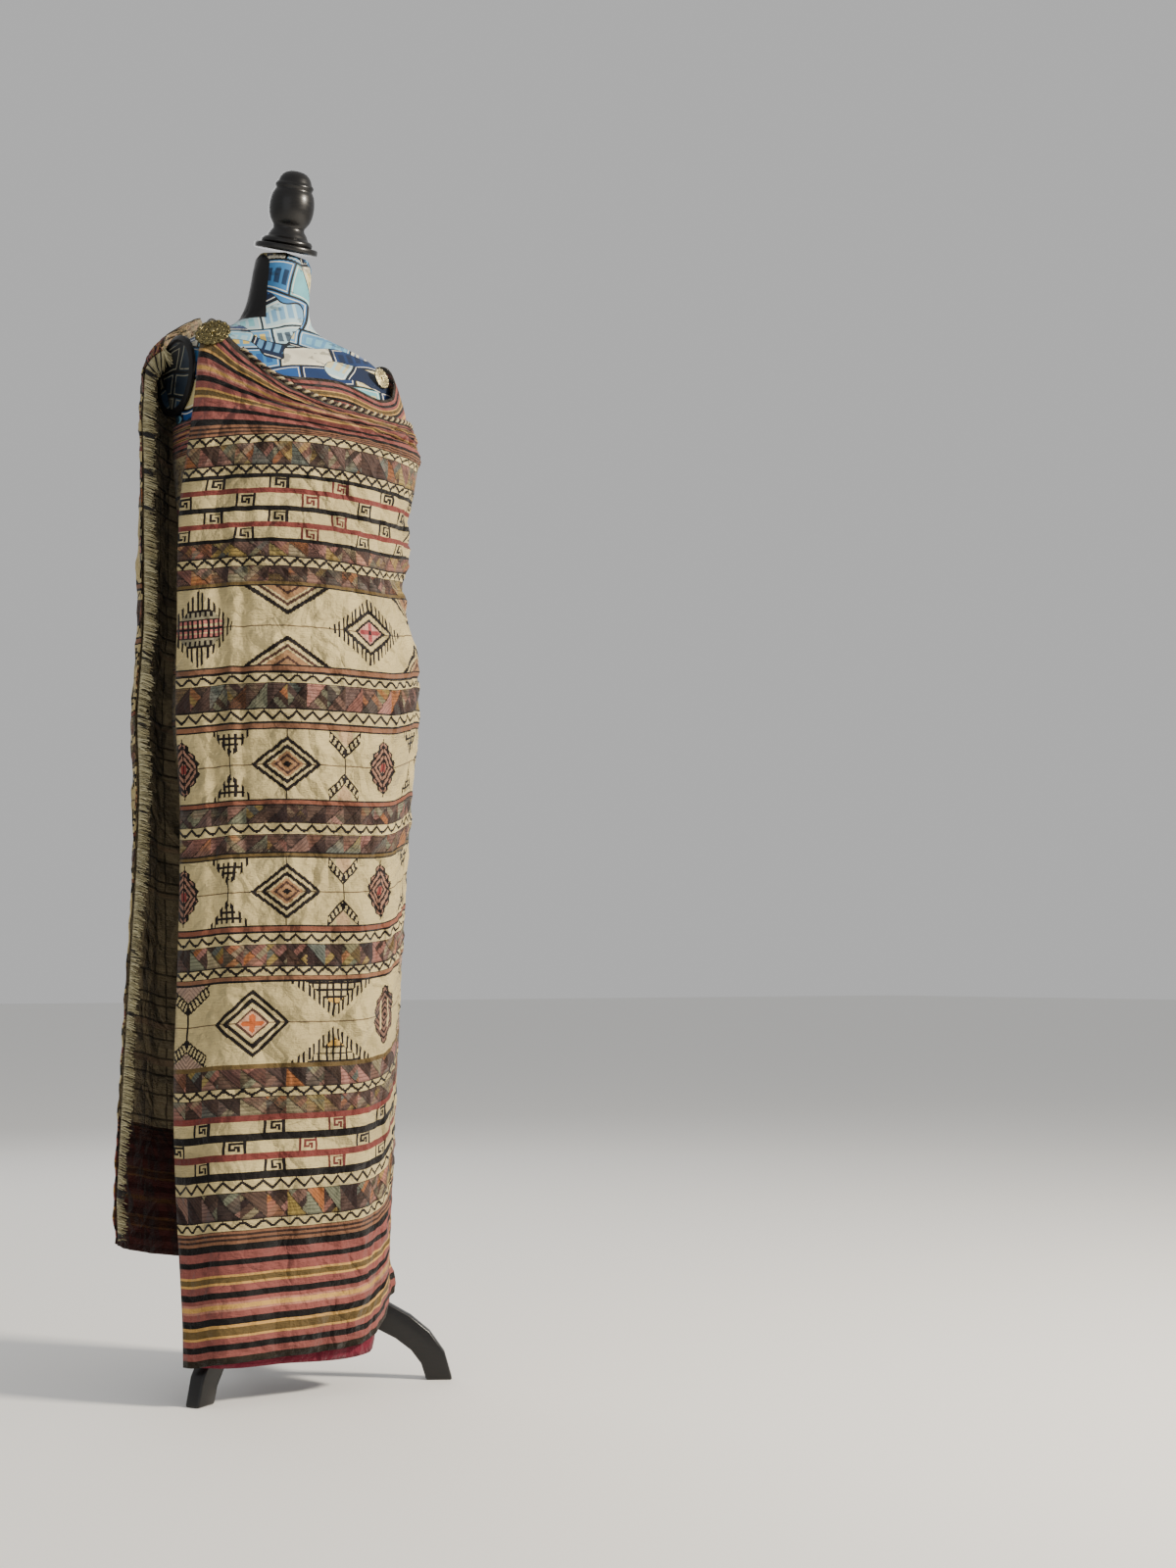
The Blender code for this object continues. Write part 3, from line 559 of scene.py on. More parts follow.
def add_node(
    tree: bpy.types.NodeTree, kind: str, settings: dict | None = None, inputs: dict | None = None
) -> bpy.types.Node:
    """Adds a node with its settings and links.

    Args:
        tree: Node tree to add to.
        kind: Node type.
        settings: Attributes to set on the node.
        inputs: Sockets, fields, colours or numbers by input name or index.

    Returns:
        The new node.
    """
    node = tree.nodes.new(kind)
    for name, value in (settings or {}).items():
        setattr(node, name, value)
    for name, value in (inputs or {}).items():
        feed(tree, node.inputs[name], value)
    return node


@dataclass(frozen=True)
class Field:
    """A number that varies over a surface."""

    tree: bpy.types.NodeTree
    socket: bpy.types.NodeSocket

    def math(self, operation: str, *others: "Field | float") -> "Field":
        """Works out a Math node's operation on this field and others.

        Args:
            operation: Name of the operation.
            others: Its further inputs.

        Returns:
            The result.
        """
        inputs = dict(enumerate((self, *others)))
        node = add_node(self.tree, "ShaderNodeMath", {"operation": operation}, inputs)
        return Field(self.tree, node.outputs[0])

    def __add__(self, other: "Field | float") -> "Field":
        """Sum."""
        return self.math("ADD", other)

    def __sub__(self, other: "Field | float") -> "Field":
        """Difference."""
        return self.math("SUBTRACT", other)

    def __mul__(self, other: "Field | float") -> "Field":
        """Product."""
        return self.math("MULTIPLY", other)

    def __truediv__(self, other: "Field | float") -> "Field":
        """Quotient."""
        return self.math("DIVIDE", other)

    def below(self, other: "Field | float") -> "Field":
        """1 where this is less than the other."""
        return self.math("LESS_THAN", other)

    def above(self, other: "Field | float") -> "Field":
        """1 where this is more than the other."""
        return self.math("GREATER_THAN", other)

    def between(self, low: float, high: float) -> "Field":
        """1 where this lies between two numbers."""
        return (self - (low + high) / 2).size().below((high - low) / 2)

    def size(self) -> "Field":
        """Absolute value."""
        return self.math("ABSOLUTE")

    def either(self, other: "Field") -> "Field":
        """1 where either of two masks is 1."""
        return self.math("MAXIMUM", other)

    def lesser(self, other: "Field | float") -> "Field":
        """The lesser of two."""
        return self.math("MINIMUM", other)

    def beat(self, period: float) -> "Field":
        """0 to 1 once over each period."""
        return (self / period).math("FRACT")

    def centred(self, middle: float, period: float) -> "Field":
        """Distance from the nearest of the repeats of a middle, signed."""
        return (self - middle).math("WRAP", period / 2, -period / 2)


@dataclass(frozen=True)
class Place:
    """Where the cloth's pattern is read, in whole threads: metres along, metres up within the
    band, the band's height, its kind and how high its lower edge lies."""

    u: Field
    t: Field
    h: Field
    kind: Field
    low: Field

    @classmethod
    def read(
        cls, look: "Look", cloth: bpy.types.NodeSocket, band: bpy.types.NodeSocket, step: float
    ) -> "Place":
        """Reads the sheet's attributes, a little unevenly, as a weaver's hand is.

        Args:
            look: Material under construction.
            cloth: The sheet's own coordinates.
            band: Kind, height within and height of the band.
            step: Width of a pattern thread.

        Returns:
            The place.
        """
        raw_u, raw_v, _ = look.axes(cloth)
        kind, raw_t, h = look.axes(band)
        wander = (look.speckle(cloth, (48.0, 48.0, 1.0), 1.0) - 0.5) * 0.0034
        u = ((raw_u + wander) / step).math("ROUND") * step
        t = ((raw_t + wander * 0.5) / step).math("ROUND") * step
        return cls(u, t, h, kind, raw_v - raw_t)

    @property
    def y(self) -> Field:
        """Height from the band's middle."""
        return self.t - self.h * 0.5

    @property
    def edge(self) -> Field:
        """Distance from the band's nearer edge."""
        return self.h * 0.5 - self.y.size()

    def on(self, wanted: Kind) -> Field:
        """1 on the bands of a kind."""
        return self.kind.between(wanted.value - 0.5, wanted.value + 0.5)


class Look:
    """A material under construction, with its Principled shader."""

    def __init__(self, name: str) -> None:
        """Starts a material.

        Args:
            name: Name of the material.
        """
        self.material = bpy.data.materials.new(name)
        self.material.use_nodes = True
        self.tree = self.material.node_tree
        self.shader = self.tree.nodes["Principled BSDF"]

    def set(self, **values: float | str | tuple | bpy.types.NodeSocket | Field) -> None:
        """Sets or links the shader's inputs, named with underscores for spaces."""
        for name, value in values.items():
            feed(self.tree, self.shader.inputs[name.replace("_", " ")], value)

    def axes(self, socket: bpy.types.NodeSocket) -> list[Field]:
        """The three numbers of a vector."""
        node = add_node(self.tree, "ShaderNodeSeparateXYZ", None, {0: socket})
        return [Field(self.tree, out) for out in node.outputs]

    def mix(
        self, base: bpy.types.NodeSocket | str, top: bpy.types.NodeSocket | str, mask: Field | float
    ) -> bpy.types.NodeSocket:
        """Lays one colour over another where a mask is 1.

        Args:
            base: The colour below.
            top: The colour above.
            mask: Share of the colour above.

        Returns:
            The mixed colour.
        """
        inputs = {"Factor": mask, 6: base, 7: top}
        node = add_node(self.tree, "ShaderNodeMix", {"data_type": "RGBA"}, inputs)
        return node.outputs[2]

    def speckle(
        self, where: bpy.types.NodeSocket, scale: tuple[float, float, float], detail: float = 2.0
    ) -> Field:
        """Makes an uneven 0 to 1 variation.

        Args:
            where: Coordinates in metres.
            scale: Repeats for each metre along each axis.
            detail: Octaves of finer unevenness.

        Returns:
            The variation.
        """
        place = add_node(self.tree, "ShaderNodeMapping", None, {"Vector": where, "Scale": scale})
        inputs = {"Vector": place.outputs[0], "Scale": 1.0, "Detail": detail}
        node = add_node(self.tree, "ShaderNodeTexNoise", None, inputs)
        return Field(self.tree, node.outputs[0])

    def crumple(self, where: bpy.types.NodeSocket) -> Field:
        """Makes the relief of cloth that lay folded and crushed: flat facets between creases,
        a few centimetres wide, and a finer unevenness over them.

        Args:
            where: The sheet's own coordinates.

        Returns:
            Height of the relief.
        """
        swirl = add_node(self.tree, "ShaderNodeTexNoise", None, {"Vector": where, "Scale": 9.0})
        inputs = {0: swirl.outputs["Color"], "Scale": 0.075}
        bent = add_node(self.tree, "ShaderNodeVectorMath", {"operation": "SCALE"}, inputs)
        inputs = {0: where, 1: bent.outputs[0]}
        place = add_node(self.tree, "ShaderNodeVectorMath", {"operation": "ADD"}, inputs)
        settings = {"feature": "DISTANCE_TO_EDGE"}
        total = self.speckle(where, (30.0, 24.0, 1.0), 4.0) * 0.9
        for scale, share in ((13.0, 1.6), (27.0, 0.7)):
            inputs = {"Vector": place.outputs[0], "Scale": scale}
            cells = add_node(self.tree, "ShaderNodeTexVoronoi", settings, inputs)
            total = total + Field(self.tree, cells.outputs["Distance"]).lesser(0.30) * share
        return total

    def own_place(self) -> bpy.types.NodeSocket:
        """The piece's own coordinates in metres."""
        return add_node(self.tree, "ShaderNodeTexCoord").outputs["Object"]

    def attribute(self, name: str, output: str) -> bpy.types.NodeSocket:
        """An attribute written to the piece's mesh."""
        return add_node(self.tree, "ShaderNodeAttribute", {"attribute_name": name}).outputs[output]

    def weave(self) -> bpy.types.NodeSocket:
        """The sheet's own coordinates: metres along and metres up."""
        return add_node(self.tree, "ShaderNodeUVMap", {"uv_map": "weave"}).outputs[0]

    def chance(self, key: Field) -> Field:
        """Draws a chance number from 0 to 1.

        Args:
            key: A number that is the same all over a patch.

        Returns:
            One number for each key.
        """
        settings = {"noise_dimensions": "1D"}
        node = add_node(self.tree, "ShaderNodeTexWhiteNoise", settings, {"W": key})
        return Field(self.tree, node.outputs["Value"])

    def chip(self, key: Field, palette: Sequence[str]) -> bpy.types.NodeSocket:
        """A colour picked by chance for each key.

        Args:
            key: A number that is the same all over a patch.
            palette: The colours to pick from.

        Returns:
            The colour.
        """
        ramp = add_node(self.tree, "ShaderNodeValToRGB", None, {"Fac": self.chance(key)})
        ramp.color_ramp.interpolation = "CONSTANT"
        stops = ramp.color_ramp.elements
        while len(stops) < len(palette):
            stops.new(0.5)
        for i, code in enumerate(palette):
            stops[i].position = i / len(palette)
            stops[i].color = linear(code)
        return ramp.outputs[0]

    def tint(self, colour: bpy.types.NodeSocket, factor: Field) -> bpy.types.NodeSocket:
        """Makes a colour lighter or darker.

        Args:
            colour: The colour.
            factor: What it is multiplied by.

        Returns:
            The changed colour.
        """
        shade = add_node(self.tree, "ShaderNodeCombineXYZ", None, {0: factor, 1: factor, 2: factor})
        inputs = {"Factor": 1.0, 6: colour, 7: shade.outputs[0]}
        settings = {"data_type": "RGBA", "blend_type": "MULTIPLY"}
        return add_node(self.tree, "ShaderNodeMix", settings, inputs).outputs[2]

    def bump(self, height: Field, strength: float, distance: float) -> None:
        """Raises the surface by a height field.

        Args:
            height: The field.
            strength: Share of the relief that is shown.
            distance: Metres for a height of 1.
        """
        inputs = {"Height": height, "Strength": strength, "Distance": distance}
        node = add_node(self.tree, "ShaderNodeBump", None, inputs)
        self.set(Normal=node.outputs[0])


# Materials: finishes


@dataclass(frozen=True)
class KiraFace:
    """Hand-woven cotton with patterns in extra weft: matt, dry, slightly ribbed, with crisp
    stepped motifs drawn flat on the cream ground, though the real ones stand a little proud, and
    creases of long storage."""

    step: float = 0.0016
    teeth: float = 0.0072
    motif_pitch: float = 0.088
    top_pitch: float = 0.49
    middle_pitch: float = 0.29
    low_pitch: float = 0.374
    ink: str = "#150f0e"
    brown: str = "#3f2a23"
    tan: str = "#8f6c4c"
    pink: str = "#a8665e"
    grey: str = "#857e66"
    yellow: str = "#c2953c"
    orange: str = "#a9552c"
    palette: tuple[str, ...] = (
        "#2a1c1b", "#453531", "#33261f", "#66504a", "#84584d", "#3a2a25", "#9a6038", "#6f715c",
        "#4c3a34", "#8f7a42", "#5c625a", "#37271f", "#9a6c62", "#4f3c32", "#2f2320", "#75584c",
        "#8a7f62", "#41302a",
    )

    def zigzag(
        self, look: Look, base: bpy.types.NodeSocket, place: Place, here: Field
    ) -> bpy.types.NodeSocket:
        """Bold dark zigzag along a narrow cream band, between two thin lines.

        Args:
            look: Material under construction.
            base: Colour so far.
            place: Where the cloth is read.
            here: 1 on the bands that hold it.

        Returns:
            The colour with the zigzag on it.
        """
        wave = (place.u.beat(0.0208) - 0.5).size() * 2.0
        line = (place.t - place.h * (wave * 0.56 + 0.22)).size().below(0.0023)
        rim = place.t.below(0.0015).either((place.h - place.t).below(0.0015))
        return look.mix(base, self.ink, line.either(rim) * here)

    def triangles(
        self, look: Look, base: bpy.types.NodeSocket, place: Place, here: Field, lean: float
    ) -> bpy.types.NodeSocket:
        """Leaning panels of coloured triangles with a fine dark hatch.

        Args:
            look: Material under construction.
            base: Colour so far.
            place: Where the cloth is read.
            here: 1 on the bands that hold them.
            lean: Way that the panels lean, 1 or -1.

        Returns:
            The colour with the triangles on it.
        """
        share = place.t / place.h
        slid = (place.u / 0.0262) + share * lean
        panel = slid.math("FLOOR")
        across = slid.math("FRACT")
        half = across.above(share if lean > 0 else share * -1.0 + 1.0)
        key = panel * 7.0 + half * 3.0 + place.low * 311.0
        base_tone = look.chip(key, self.palette)
        small = ((place.u - place.t * lean) / 0.0108).math("FLOOR")
        other = look.chip(key + small * 1.7 + 40.0, self.palette)
        colour = look.mix(base_tone, other, look.chance(key + 9.0).above(0.55) * 0.75)
        slanted = (place.u + place.t * lean).beat(0.0056).below(0.42)
        level = place.t.beat(0.0048).below(0.38)
        hatch = slanted * half + level * (half * -1.0 + 1.0)
        colour = look.mix(colour, self.ink, hatch * 0.42)
        colour = look.mix(colour, self.ink, across.below(0.075) * 0.85)
        return look.mix(base, colour, here)

    def small_row(
        self, look: Look, base: bpy.types.NodeSocket, place: Place, here: Field, shift: float
    ) -> bpy.types.NodeSocket:
        """Small hooked motifs between two bars, spaced out along a cream band.

        Args:
            look: Material under construction.
            base: Colour so far.
            place: Where the cloth is read.
            here: 1 on the bands that hold them.
            shift: Where the first of them stands, in metres along.

        Returns:
            The colour with the motifs on it.
        """
        x = place.u.centred(shift, self.motif_pitch)
        y = place.y
        mark = x.between(0.0096, 0.0130).either(x.between(-0.0130, -0.0096))
        mark = mark.either(y.between(0.0040, 0.0064) * x.between(-0.0130, 0.0060))
        mark = mark.either(x.between(0.0030, 0.0062) * y.between(-0.0046, 0.0064))
        mark = mark.either(y.between(-0.0046, -0.0014) * x.between(-0.0020, 0.0062))
        mark = mark.either(x.between(-0.0066, -0.0034) * y.between(-0.0064, 0.0018))
        mark = mark.either(y.between(-0.0010, 0.0018) * x.between(-0.0066, -0.0006))
        turn = (place.u - shift) / self.motif_pitch + 0.5
        third = (turn.math("FLOOR") / 3.0).math("FRACT").below(0.2)
        colour = look.mix(self.ink, RED, third * 0.7)
        return look.mix(base, colour, mark * here)

    def rings(
        self,
        look: Look,
        base: bpy.types.NodeSocket,
        d: Field,
        here: Field,
        rows: Sequence[tuple[float, float, str]],
    ) -> bpy.types.NodeSocket:
        """Rings of a figure, each between two shares of its outline.

        Args:
            look: Material under construction.
            base: Colour so far.
            d: Share of the outline.
            here: 1 where the figure may be.
            rows: Inner share, outer share and colour of each ring.

        Returns:
            The colour with the rings on it.
        """
        for low, high, code in rows:
            base = look.mix(base, code, d.between(low, high) * here)
        return base

    def comb(self, x: Field, d: Field, low: float, high: float) -> Field:
        """Upright teeth round a figure between two shares of its outline."""
        return d.between(low, high) * x.beat(self.teeth).below(0.46)

    def field_top(
        self, look: Look, base: bpy.types.NodeSocket, place: Place, here: Field
    ) -> bpy.types.NodeSocket:
        """Half diamonds from both edges, a comb figure and a spiked diamond.

        Args:
            look: Material under construction.
            base: Colour so far.
            place: Where the cloth is read.
            here: 1 on the field.

        Returns:
            The colour with the figures on it.
        """
        u, y = place.u, place.y
        half = u.centred(0.865, self.top_pitch / 2)
        d = half.size() / 0.0575 + place.edge / 0.0400
        rows = [(0.0, 0.20, self.tan), (0.20, 0.30, self.brown), (0.30, 0.52, self.tan)]
        rows += [(0.58, 0.70, self.brown), (0.83, 1.0, self.ink)]
        base = self.rings(look, base, d, here, rows)
        x = u.centred(0.742, self.top_pitch)
        d = x.size() / 0.062 + y.size() / 0.043
        base = look.mix(base, self.ink, self.comb(x, d, 0.62, 1.10) * here)
        rows = [(0.0, 0.36, "#b98a7c"), (0.36, 0.46, self.ink), (0.62, 0.76, self.ink)]
        base = self.rings(look, base, d, here, rows)
        cross = x.size().below(0.0032).either(y.size().below(0.0032)) * d.below(0.33)
        base = look.mix(base, "#8c3f42", cross * here)
        base = look.mix(base, self.ink, x.size().below(0.0025) * y.size().below(0.0025) * here)
        x = u.centred(0.985, self.top_pitch)
        high = y.size()
        d = x.size() / 0.044 + (high - 0.006).math("MAXIMUM", 0.0) / 0.043
        body = look.mix(self.pink, self.grey, high.above(0.0125))
        body = look.mix(body, CREAM, high.above(0.0250).either(high.between(0.0040, 0.0058)))
        rung = high.below(0.0018).either(high.between(0.0112, 0.0134))
        rung = rung.either(high.between(0.0228, 0.0250))
        stagger = high.between(0.0125, 0.0245) * (self.teeth / 2)
        bare = high.between(0.0125, 0.0160)
        inked = (x + stagger).beat(self.teeth).below(0.44) * (bare - 1.0).size()
        body = look.mix(body, self.ink, inked.either(rung))
        base = look.mix(base, body, d.below(0.80) * here)
        return look.mix(base, self.ink, self.comb(x, d, 0.80, 1.10) * here)

    def field_middle(
        self, look: Look, base: bpy.types.NodeSocket, place: Place, here: Field
    ) -> bpy.types.NodeSocket:
        """A ringed diamond between comb triangles, hooked antlers and narrow blocks.

        Args:
            look: Material under construction.
            base: Colour so far.
            place: Where the cloth is read.
            here: 1 on the field.

        Returns:
            The colour with the figures on it.
        """
        u, y = place.u, place.y
        high = y.size()
        x = u.centred(0.865, self.middle_pitch)
        d = x.size() / 0.0475 + high / 0.0375
        rows = [(0.0, 0.13, self.ink), (0.13, 0.27, self.tan), (0.27, 0.37, self.brown)]
        rows += [(0.37, 0.48, self.tan), (0.56, 0.72, self.ink), (0.84, 1.0, self.ink)]
        base = self.rings(look, base, d, here, rows)
        tips = x.size().below(0.0009) * here
        base = look.mix(base, self.ink, tips * high.above(0.0360))
        s = (x - 0.0735).size()
        d = s / 0.0250 + (place.edge - 0.005).math("MAXIMUM", 0.0) / 0.0300
        cells = (x - 0.0735).beat(0.0082).below(0.44).either(place.edge.beat(0.0088).below(0.36))
        comb = d.below(0.84) * cells * place.edge.above(0.0045)
        comb = comb.either(d.between(0.78, 1.06) * (x - 0.0735).beat(0.0082).below(0.5))
        comb = comb.either(s.below(0.0009) * high.below(0.034))
        base = look.mix(base, self.ink, comb * here)
        s = (x + 0.0790).size()
        rise = high - 0.010 - s * 1.02
        slant = (s + high * 0.4).beat(0.0074).below(0.50)
        teeth = rise.between(0.0, 0.0150) * s.below(0.0225) * slant
        bars = rise.between(-0.0006, 0.0026).either(rise.between(0.0125, 0.0150)) * s.below(0.0225)
        stem = s.below(0.0011) * high.below(0.022)
        base = look.mix(base, self.pink, rise.above(0.0160) * s.below(0.0105) * here * 0.35)
        base = look.mix(base, self.ink, teeth.either(bars).either(stem) * here)
        s = (x.size() - 0.145).size()
        ragged = (high.beat(0.0125) - 0.5).size() * 0.42
        d = s / 0.0225 + (high - 0.010).math("MAXIMUM", 0.0) / 0.029 + ragged - 0.06
        body = look.mix("#8f6a58", self.ink, (s + high * 0.8).beat(0.0076).below(0.48))
        body = look.mix(body, "#7a332f", s.below(0.0042) * high.below(0.0060))
        base = look.mix(base, body, d.below(1.0) * here)
        tip = s.below(0.0011) * high.below(0.0415)
        return look.mix(base, self.ink, tip.either(d.between(0.90, 1.05)) * here)

    def field_low(
        self, look: Look, base: bpy.types.NodeSocket, place: Place, here: Field
    ) -> bpy.types.NodeSocket:
        """Slanting combs, a ringed diamond with a cross, lattice triangles and a narrow figure.

        Args:
            look: Material under construction.
            base: Colour so far.
            place: Where the cloth is read.
            here: 1 on the field.

        Returns:
            The colour with the figures on it.
        """
        u, y = place.u, place.y
        high = y.size()
        x = u.centred(0.906, self.low_pitch)
        d = x.size() / 0.046 + high / 0.045
        rows = [(0.0, 0.36, "#b58a6e"), (0.36, 0.45, self.brown)]
        rows += [(0.60, 0.75, self.ink), (0.86, 1.0, self.ink)]
        base = self.rings(look, base, d, here, rows)
        cross = x.size().below(0.0034).either(high.below(0.0034)) * d.below(0.30)
        base = look.mix(base, self.orange, cross * here)
        x = u.centred(0.996, self.low_pitch)
        s = x.size()
        rise = high - 0.016 - s * 0.72
        slant = (s + high * 0.55).beat(0.0068).below(0.48)
        comb = rise.between(0.0, 0.0165) * s.below(0.034) * slant
        line = rise.between(0.0140, 0.0170).either(rise.between(-0.0008, 0.0020)) * s.below(0.034)
        stem = s.below(0.0013) * high.below(0.026)
        hatch = (s + high).beat(0.0064).below(0.4) * 0.5
        inside = look.mix("#a08573", self.ink, hatch)
        base = look.mix(base, inside, rise.above(0.0175) * s.below(0.026) * here)
        base = look.mix(base, self.ink, comb.either(line).either(stem) * here)
        x = u.centred(0.797, self.low_pitch)
        s = x.size()
        d = s / 0.058 + place.edge / 0.044
        lattice = x.beat(0.0104).below(0.34).either(place.edge.beat(0.0096).below(0.30))
        inside = look.mix(CREAM, self.yellow, place.edge.above(0.020) * 0.9)
        inside = look.mix(inside, self.ink, lattice)
        base = look.mix(base, inside, d.below(0.74) * here)
        base = look.mix(base, self.ink, self.comb(x, d, 0.74, 1.10) * here)
        x = u.centred(0.703, self.low_pitch)
        s = x.size()
        ragged = (high.beat(0.0150) - 0.5).size() * 0.40
        d = s / 0.0215 + (high - 0.016).math("MAXIMUM", 0.0) / 0.026 + ragged - 0.06
        body = look.mix("#76594c", self.ink, (s + high).beat(0.0078).below(0.44))
        body = look.mix(body, CREAM, (s - 0.0080).size().below(0.0014) * high.below(0.020))
        base = look.mix(base, body, d.below(1.0) * here)
        return look.mix(base, self.ink, d.between(0.90, 1.04) * here)

    def build(self) -> bpy.types.Material:
        """Makes the material.

        Returns:
            The finished material.
        """
        look = Look("handwoven_cotton_kira_face")
        cloth = look.weave()
        base = look.attribute("ground", "Color")
        band = look.attribute("band", "Vector")
        place = Place.read(look, cloth, band, self.step)
        fields = place.kind.above(Kind.FIELD_TOP.value - 0.5)
        base = look.mix(base, self.brown, fields * place.y.size().below(0.0008) * 0.85)
        base = self.zigzag(look, base, place, place.on(Kind.ZIGZAG))
        base = self.triangles(look, base, place, place.on(Kind.LEAN_LEFT), -1.0)
        base = self.triangles(look, base, place, place.on(Kind.LEAN_RIGHT), 1.0)
        base = self.small_row(look, base, place, place.on(Kind.SMALL_ODD), self.motif_pitch / 2)
        base = self.small_row(look, base, place, place.on(Kind.SMALL_EVEN), 0.0)
        base = self.field_top(look, base, place, place.on(Kind.FIELD_TOP))
        base = self.field_middle(look, base, place, place.on(Kind.FIELD_MIDDLE))
        base = self.field_low(look, base, place, place.on(Kind.FIELD_LOW))
        soiled = look.speckle(cloth, (8.0, 10.0, 1.0), 5.0) * 1.10 + 0.44
        streak = look.speckle(cloth, (45.0, 700.0, 1.0), 2.0) * 0.50 + 0.75
        base = look.tint(look.tint(base, soiled), streak)
        look.set(Base_Color=base, Roughness=0.88, Specular_IOR_Level=0.2, Sheen_Weight=0.08)
        ribs = look.speckle(cloth, (160.0, 620.0, 1.0), 2.0)
        look.bump(ribs * RIBS + look.crumple(cloth), 1.0, RELIEF)
        return look.material


@dataclass(frozen=True)
class KiraReverse:
    """The back of the same cloth: the stripes show through duller, and the loose ends of extra
    weft make the patterned bands dark and mixed. The flap at the free end gets painted shade."""

    mixed: str = "#7d6f52"
    # The two colours below are painted shade for the flap at the free end, which hangs behind in
    # shadow: greyer over its stripes, dark plum over its border.
    shade: str = "#a89a7e"
    flap_shade_plum: str = "#43201f"

    def build(self) -> bpy.types.Material:
        """Makes the material.

        Returns:
            The finished material.
        """
        look = Look("handwoven_cotton_kira_reverse")
        cloth = look.weave()
        plain = look.attribute("ground", "Color")
        band = look.attribute("band", "Vector")
        u, v, _ = look.axes(cloth)
        kind, t, _ = look.axes(band)
        base = look.mix(plain, self.mixed, kind.above(0.5) * 0.8)
        floats = look.speckle(cloth, (90.0, 200.0, 1.0), 3.0)
        base = look.mix(base, BROWN, floats.above(0.54) * kind.above(0.5) * 0.6)
        loose = u.beat(0.0290).below(0.075).either(t.below(0.0030)) * kind.above(0.5)
        # Painted shade: the flap at the free end is painted darker, greyer over the stripes and
        # dark plum over the border.
        flap = (u * -1.0 + 0.42) * 9.0
        flap = flap.lesser(1.0).math("MAXIMUM", 0.0)
        border = v.below(0.175)
        deep = look.mix(self.shade, self.flap_shade_plum, border)
        base = look.mix(base, deep, flap * (border * 0.14 + 0.66))
        base = look.mix(base, "#191210", loose * flap * 0.7)
        streak = look.speckle(cloth, (30.0, 300.0, 1.0), 3.0) * 0.8 + 0.6
        base = look.tint(base, streak)
        look.set(Base_Color=base, Roughness=0.92, Specular_IOR_Level=0.2, Sheen_Weight=0.1)
        ribs = look.speckle(cloth, (160.0, 500.0, 1.0), 2.0)
        look.bump(ribs * RIBS + look.crumple(cloth), 1.0, RELIEF)
        return look.material


@dataclass(frozen=True)
class CottonEnds:
    """Cut warp ends and trim cord: matt twisted cotton, each lock its own stripe's colour."""

    name: str
    tone: float = 0.35

    def build(self) -> bpy.types.Material:
        """Makes the material.

        Returns:
            The finished material.
        """
        look = Look(self.name)
        where = look.own_place()
        ground = look.attribute("ground", "Color")
        twist = look.speckle(where, (900.0, 900.0, 1400.0), 2.0)
        base = look.tint(ground, twist * self.tone * 2.0 + (1.0 - self.tone))
        look.set(Base_Color=base, Roughness=0.9, Specular_IOR_Level=0.2, Sheen_Weight=0.2)
        look.bump(twist, 0.5, 0.0006)
        return look.material


@dataclass(frozen=True)
class AgedGilt:
    """Gilt brass, pierced and chased by hand: bright, with brown patches of dirt at random."""

    name: str
    bright: str
    dark: str

    def build(self) -> bpy.types.Material:
        """Makes the material.

        Returns:
            The finished material.
        """
        look = Look(self.name)
        where = look.own_place()
        grime = look.speckle(where, (420.0, 420.0, 420.0), 3.0)
        base = look.mix(self.dark, self.bright, (grime - 0.32) * 3.2)
        rough = grime * -0.35 + 0.52
        look.set(Base_Color=base, Metallic=1.0, Roughness=rough)
        look.bump(grime, 0.35, 0.0005)
        return look.material


@dataclass(frozen=True)
class BlackLacquer:
    """Turned and sawn hardwood under black lacquer: deep gloss with faint brush lines."""

    name: str = "black_lacquered_hardwood"
    colour: str = "#0b0a0a"
    rough: float = 0.30

    def build(self) -> bpy.types.Material:
        """Makes the material.

        Returns:
            The finished material.
        """
        look = Look(self.name)
        where = look.own_place()
        brush = look.speckle(where, (50.0, 50.0, 330.0), 3.0)
        base = look.mix(self.colour, "#1a1614", (brush - 0.45) * 1.6)
        look.set(Base_Color=base, Roughness=brush * 0.22 + (self.rough - 0.06))
        look.set(Specular_IOR_Level=0.38, Coat_Weight=0.18, Coat_Roughness=0.14)
        look.bump(brush, 0.10, 0.0006)
        return look.material


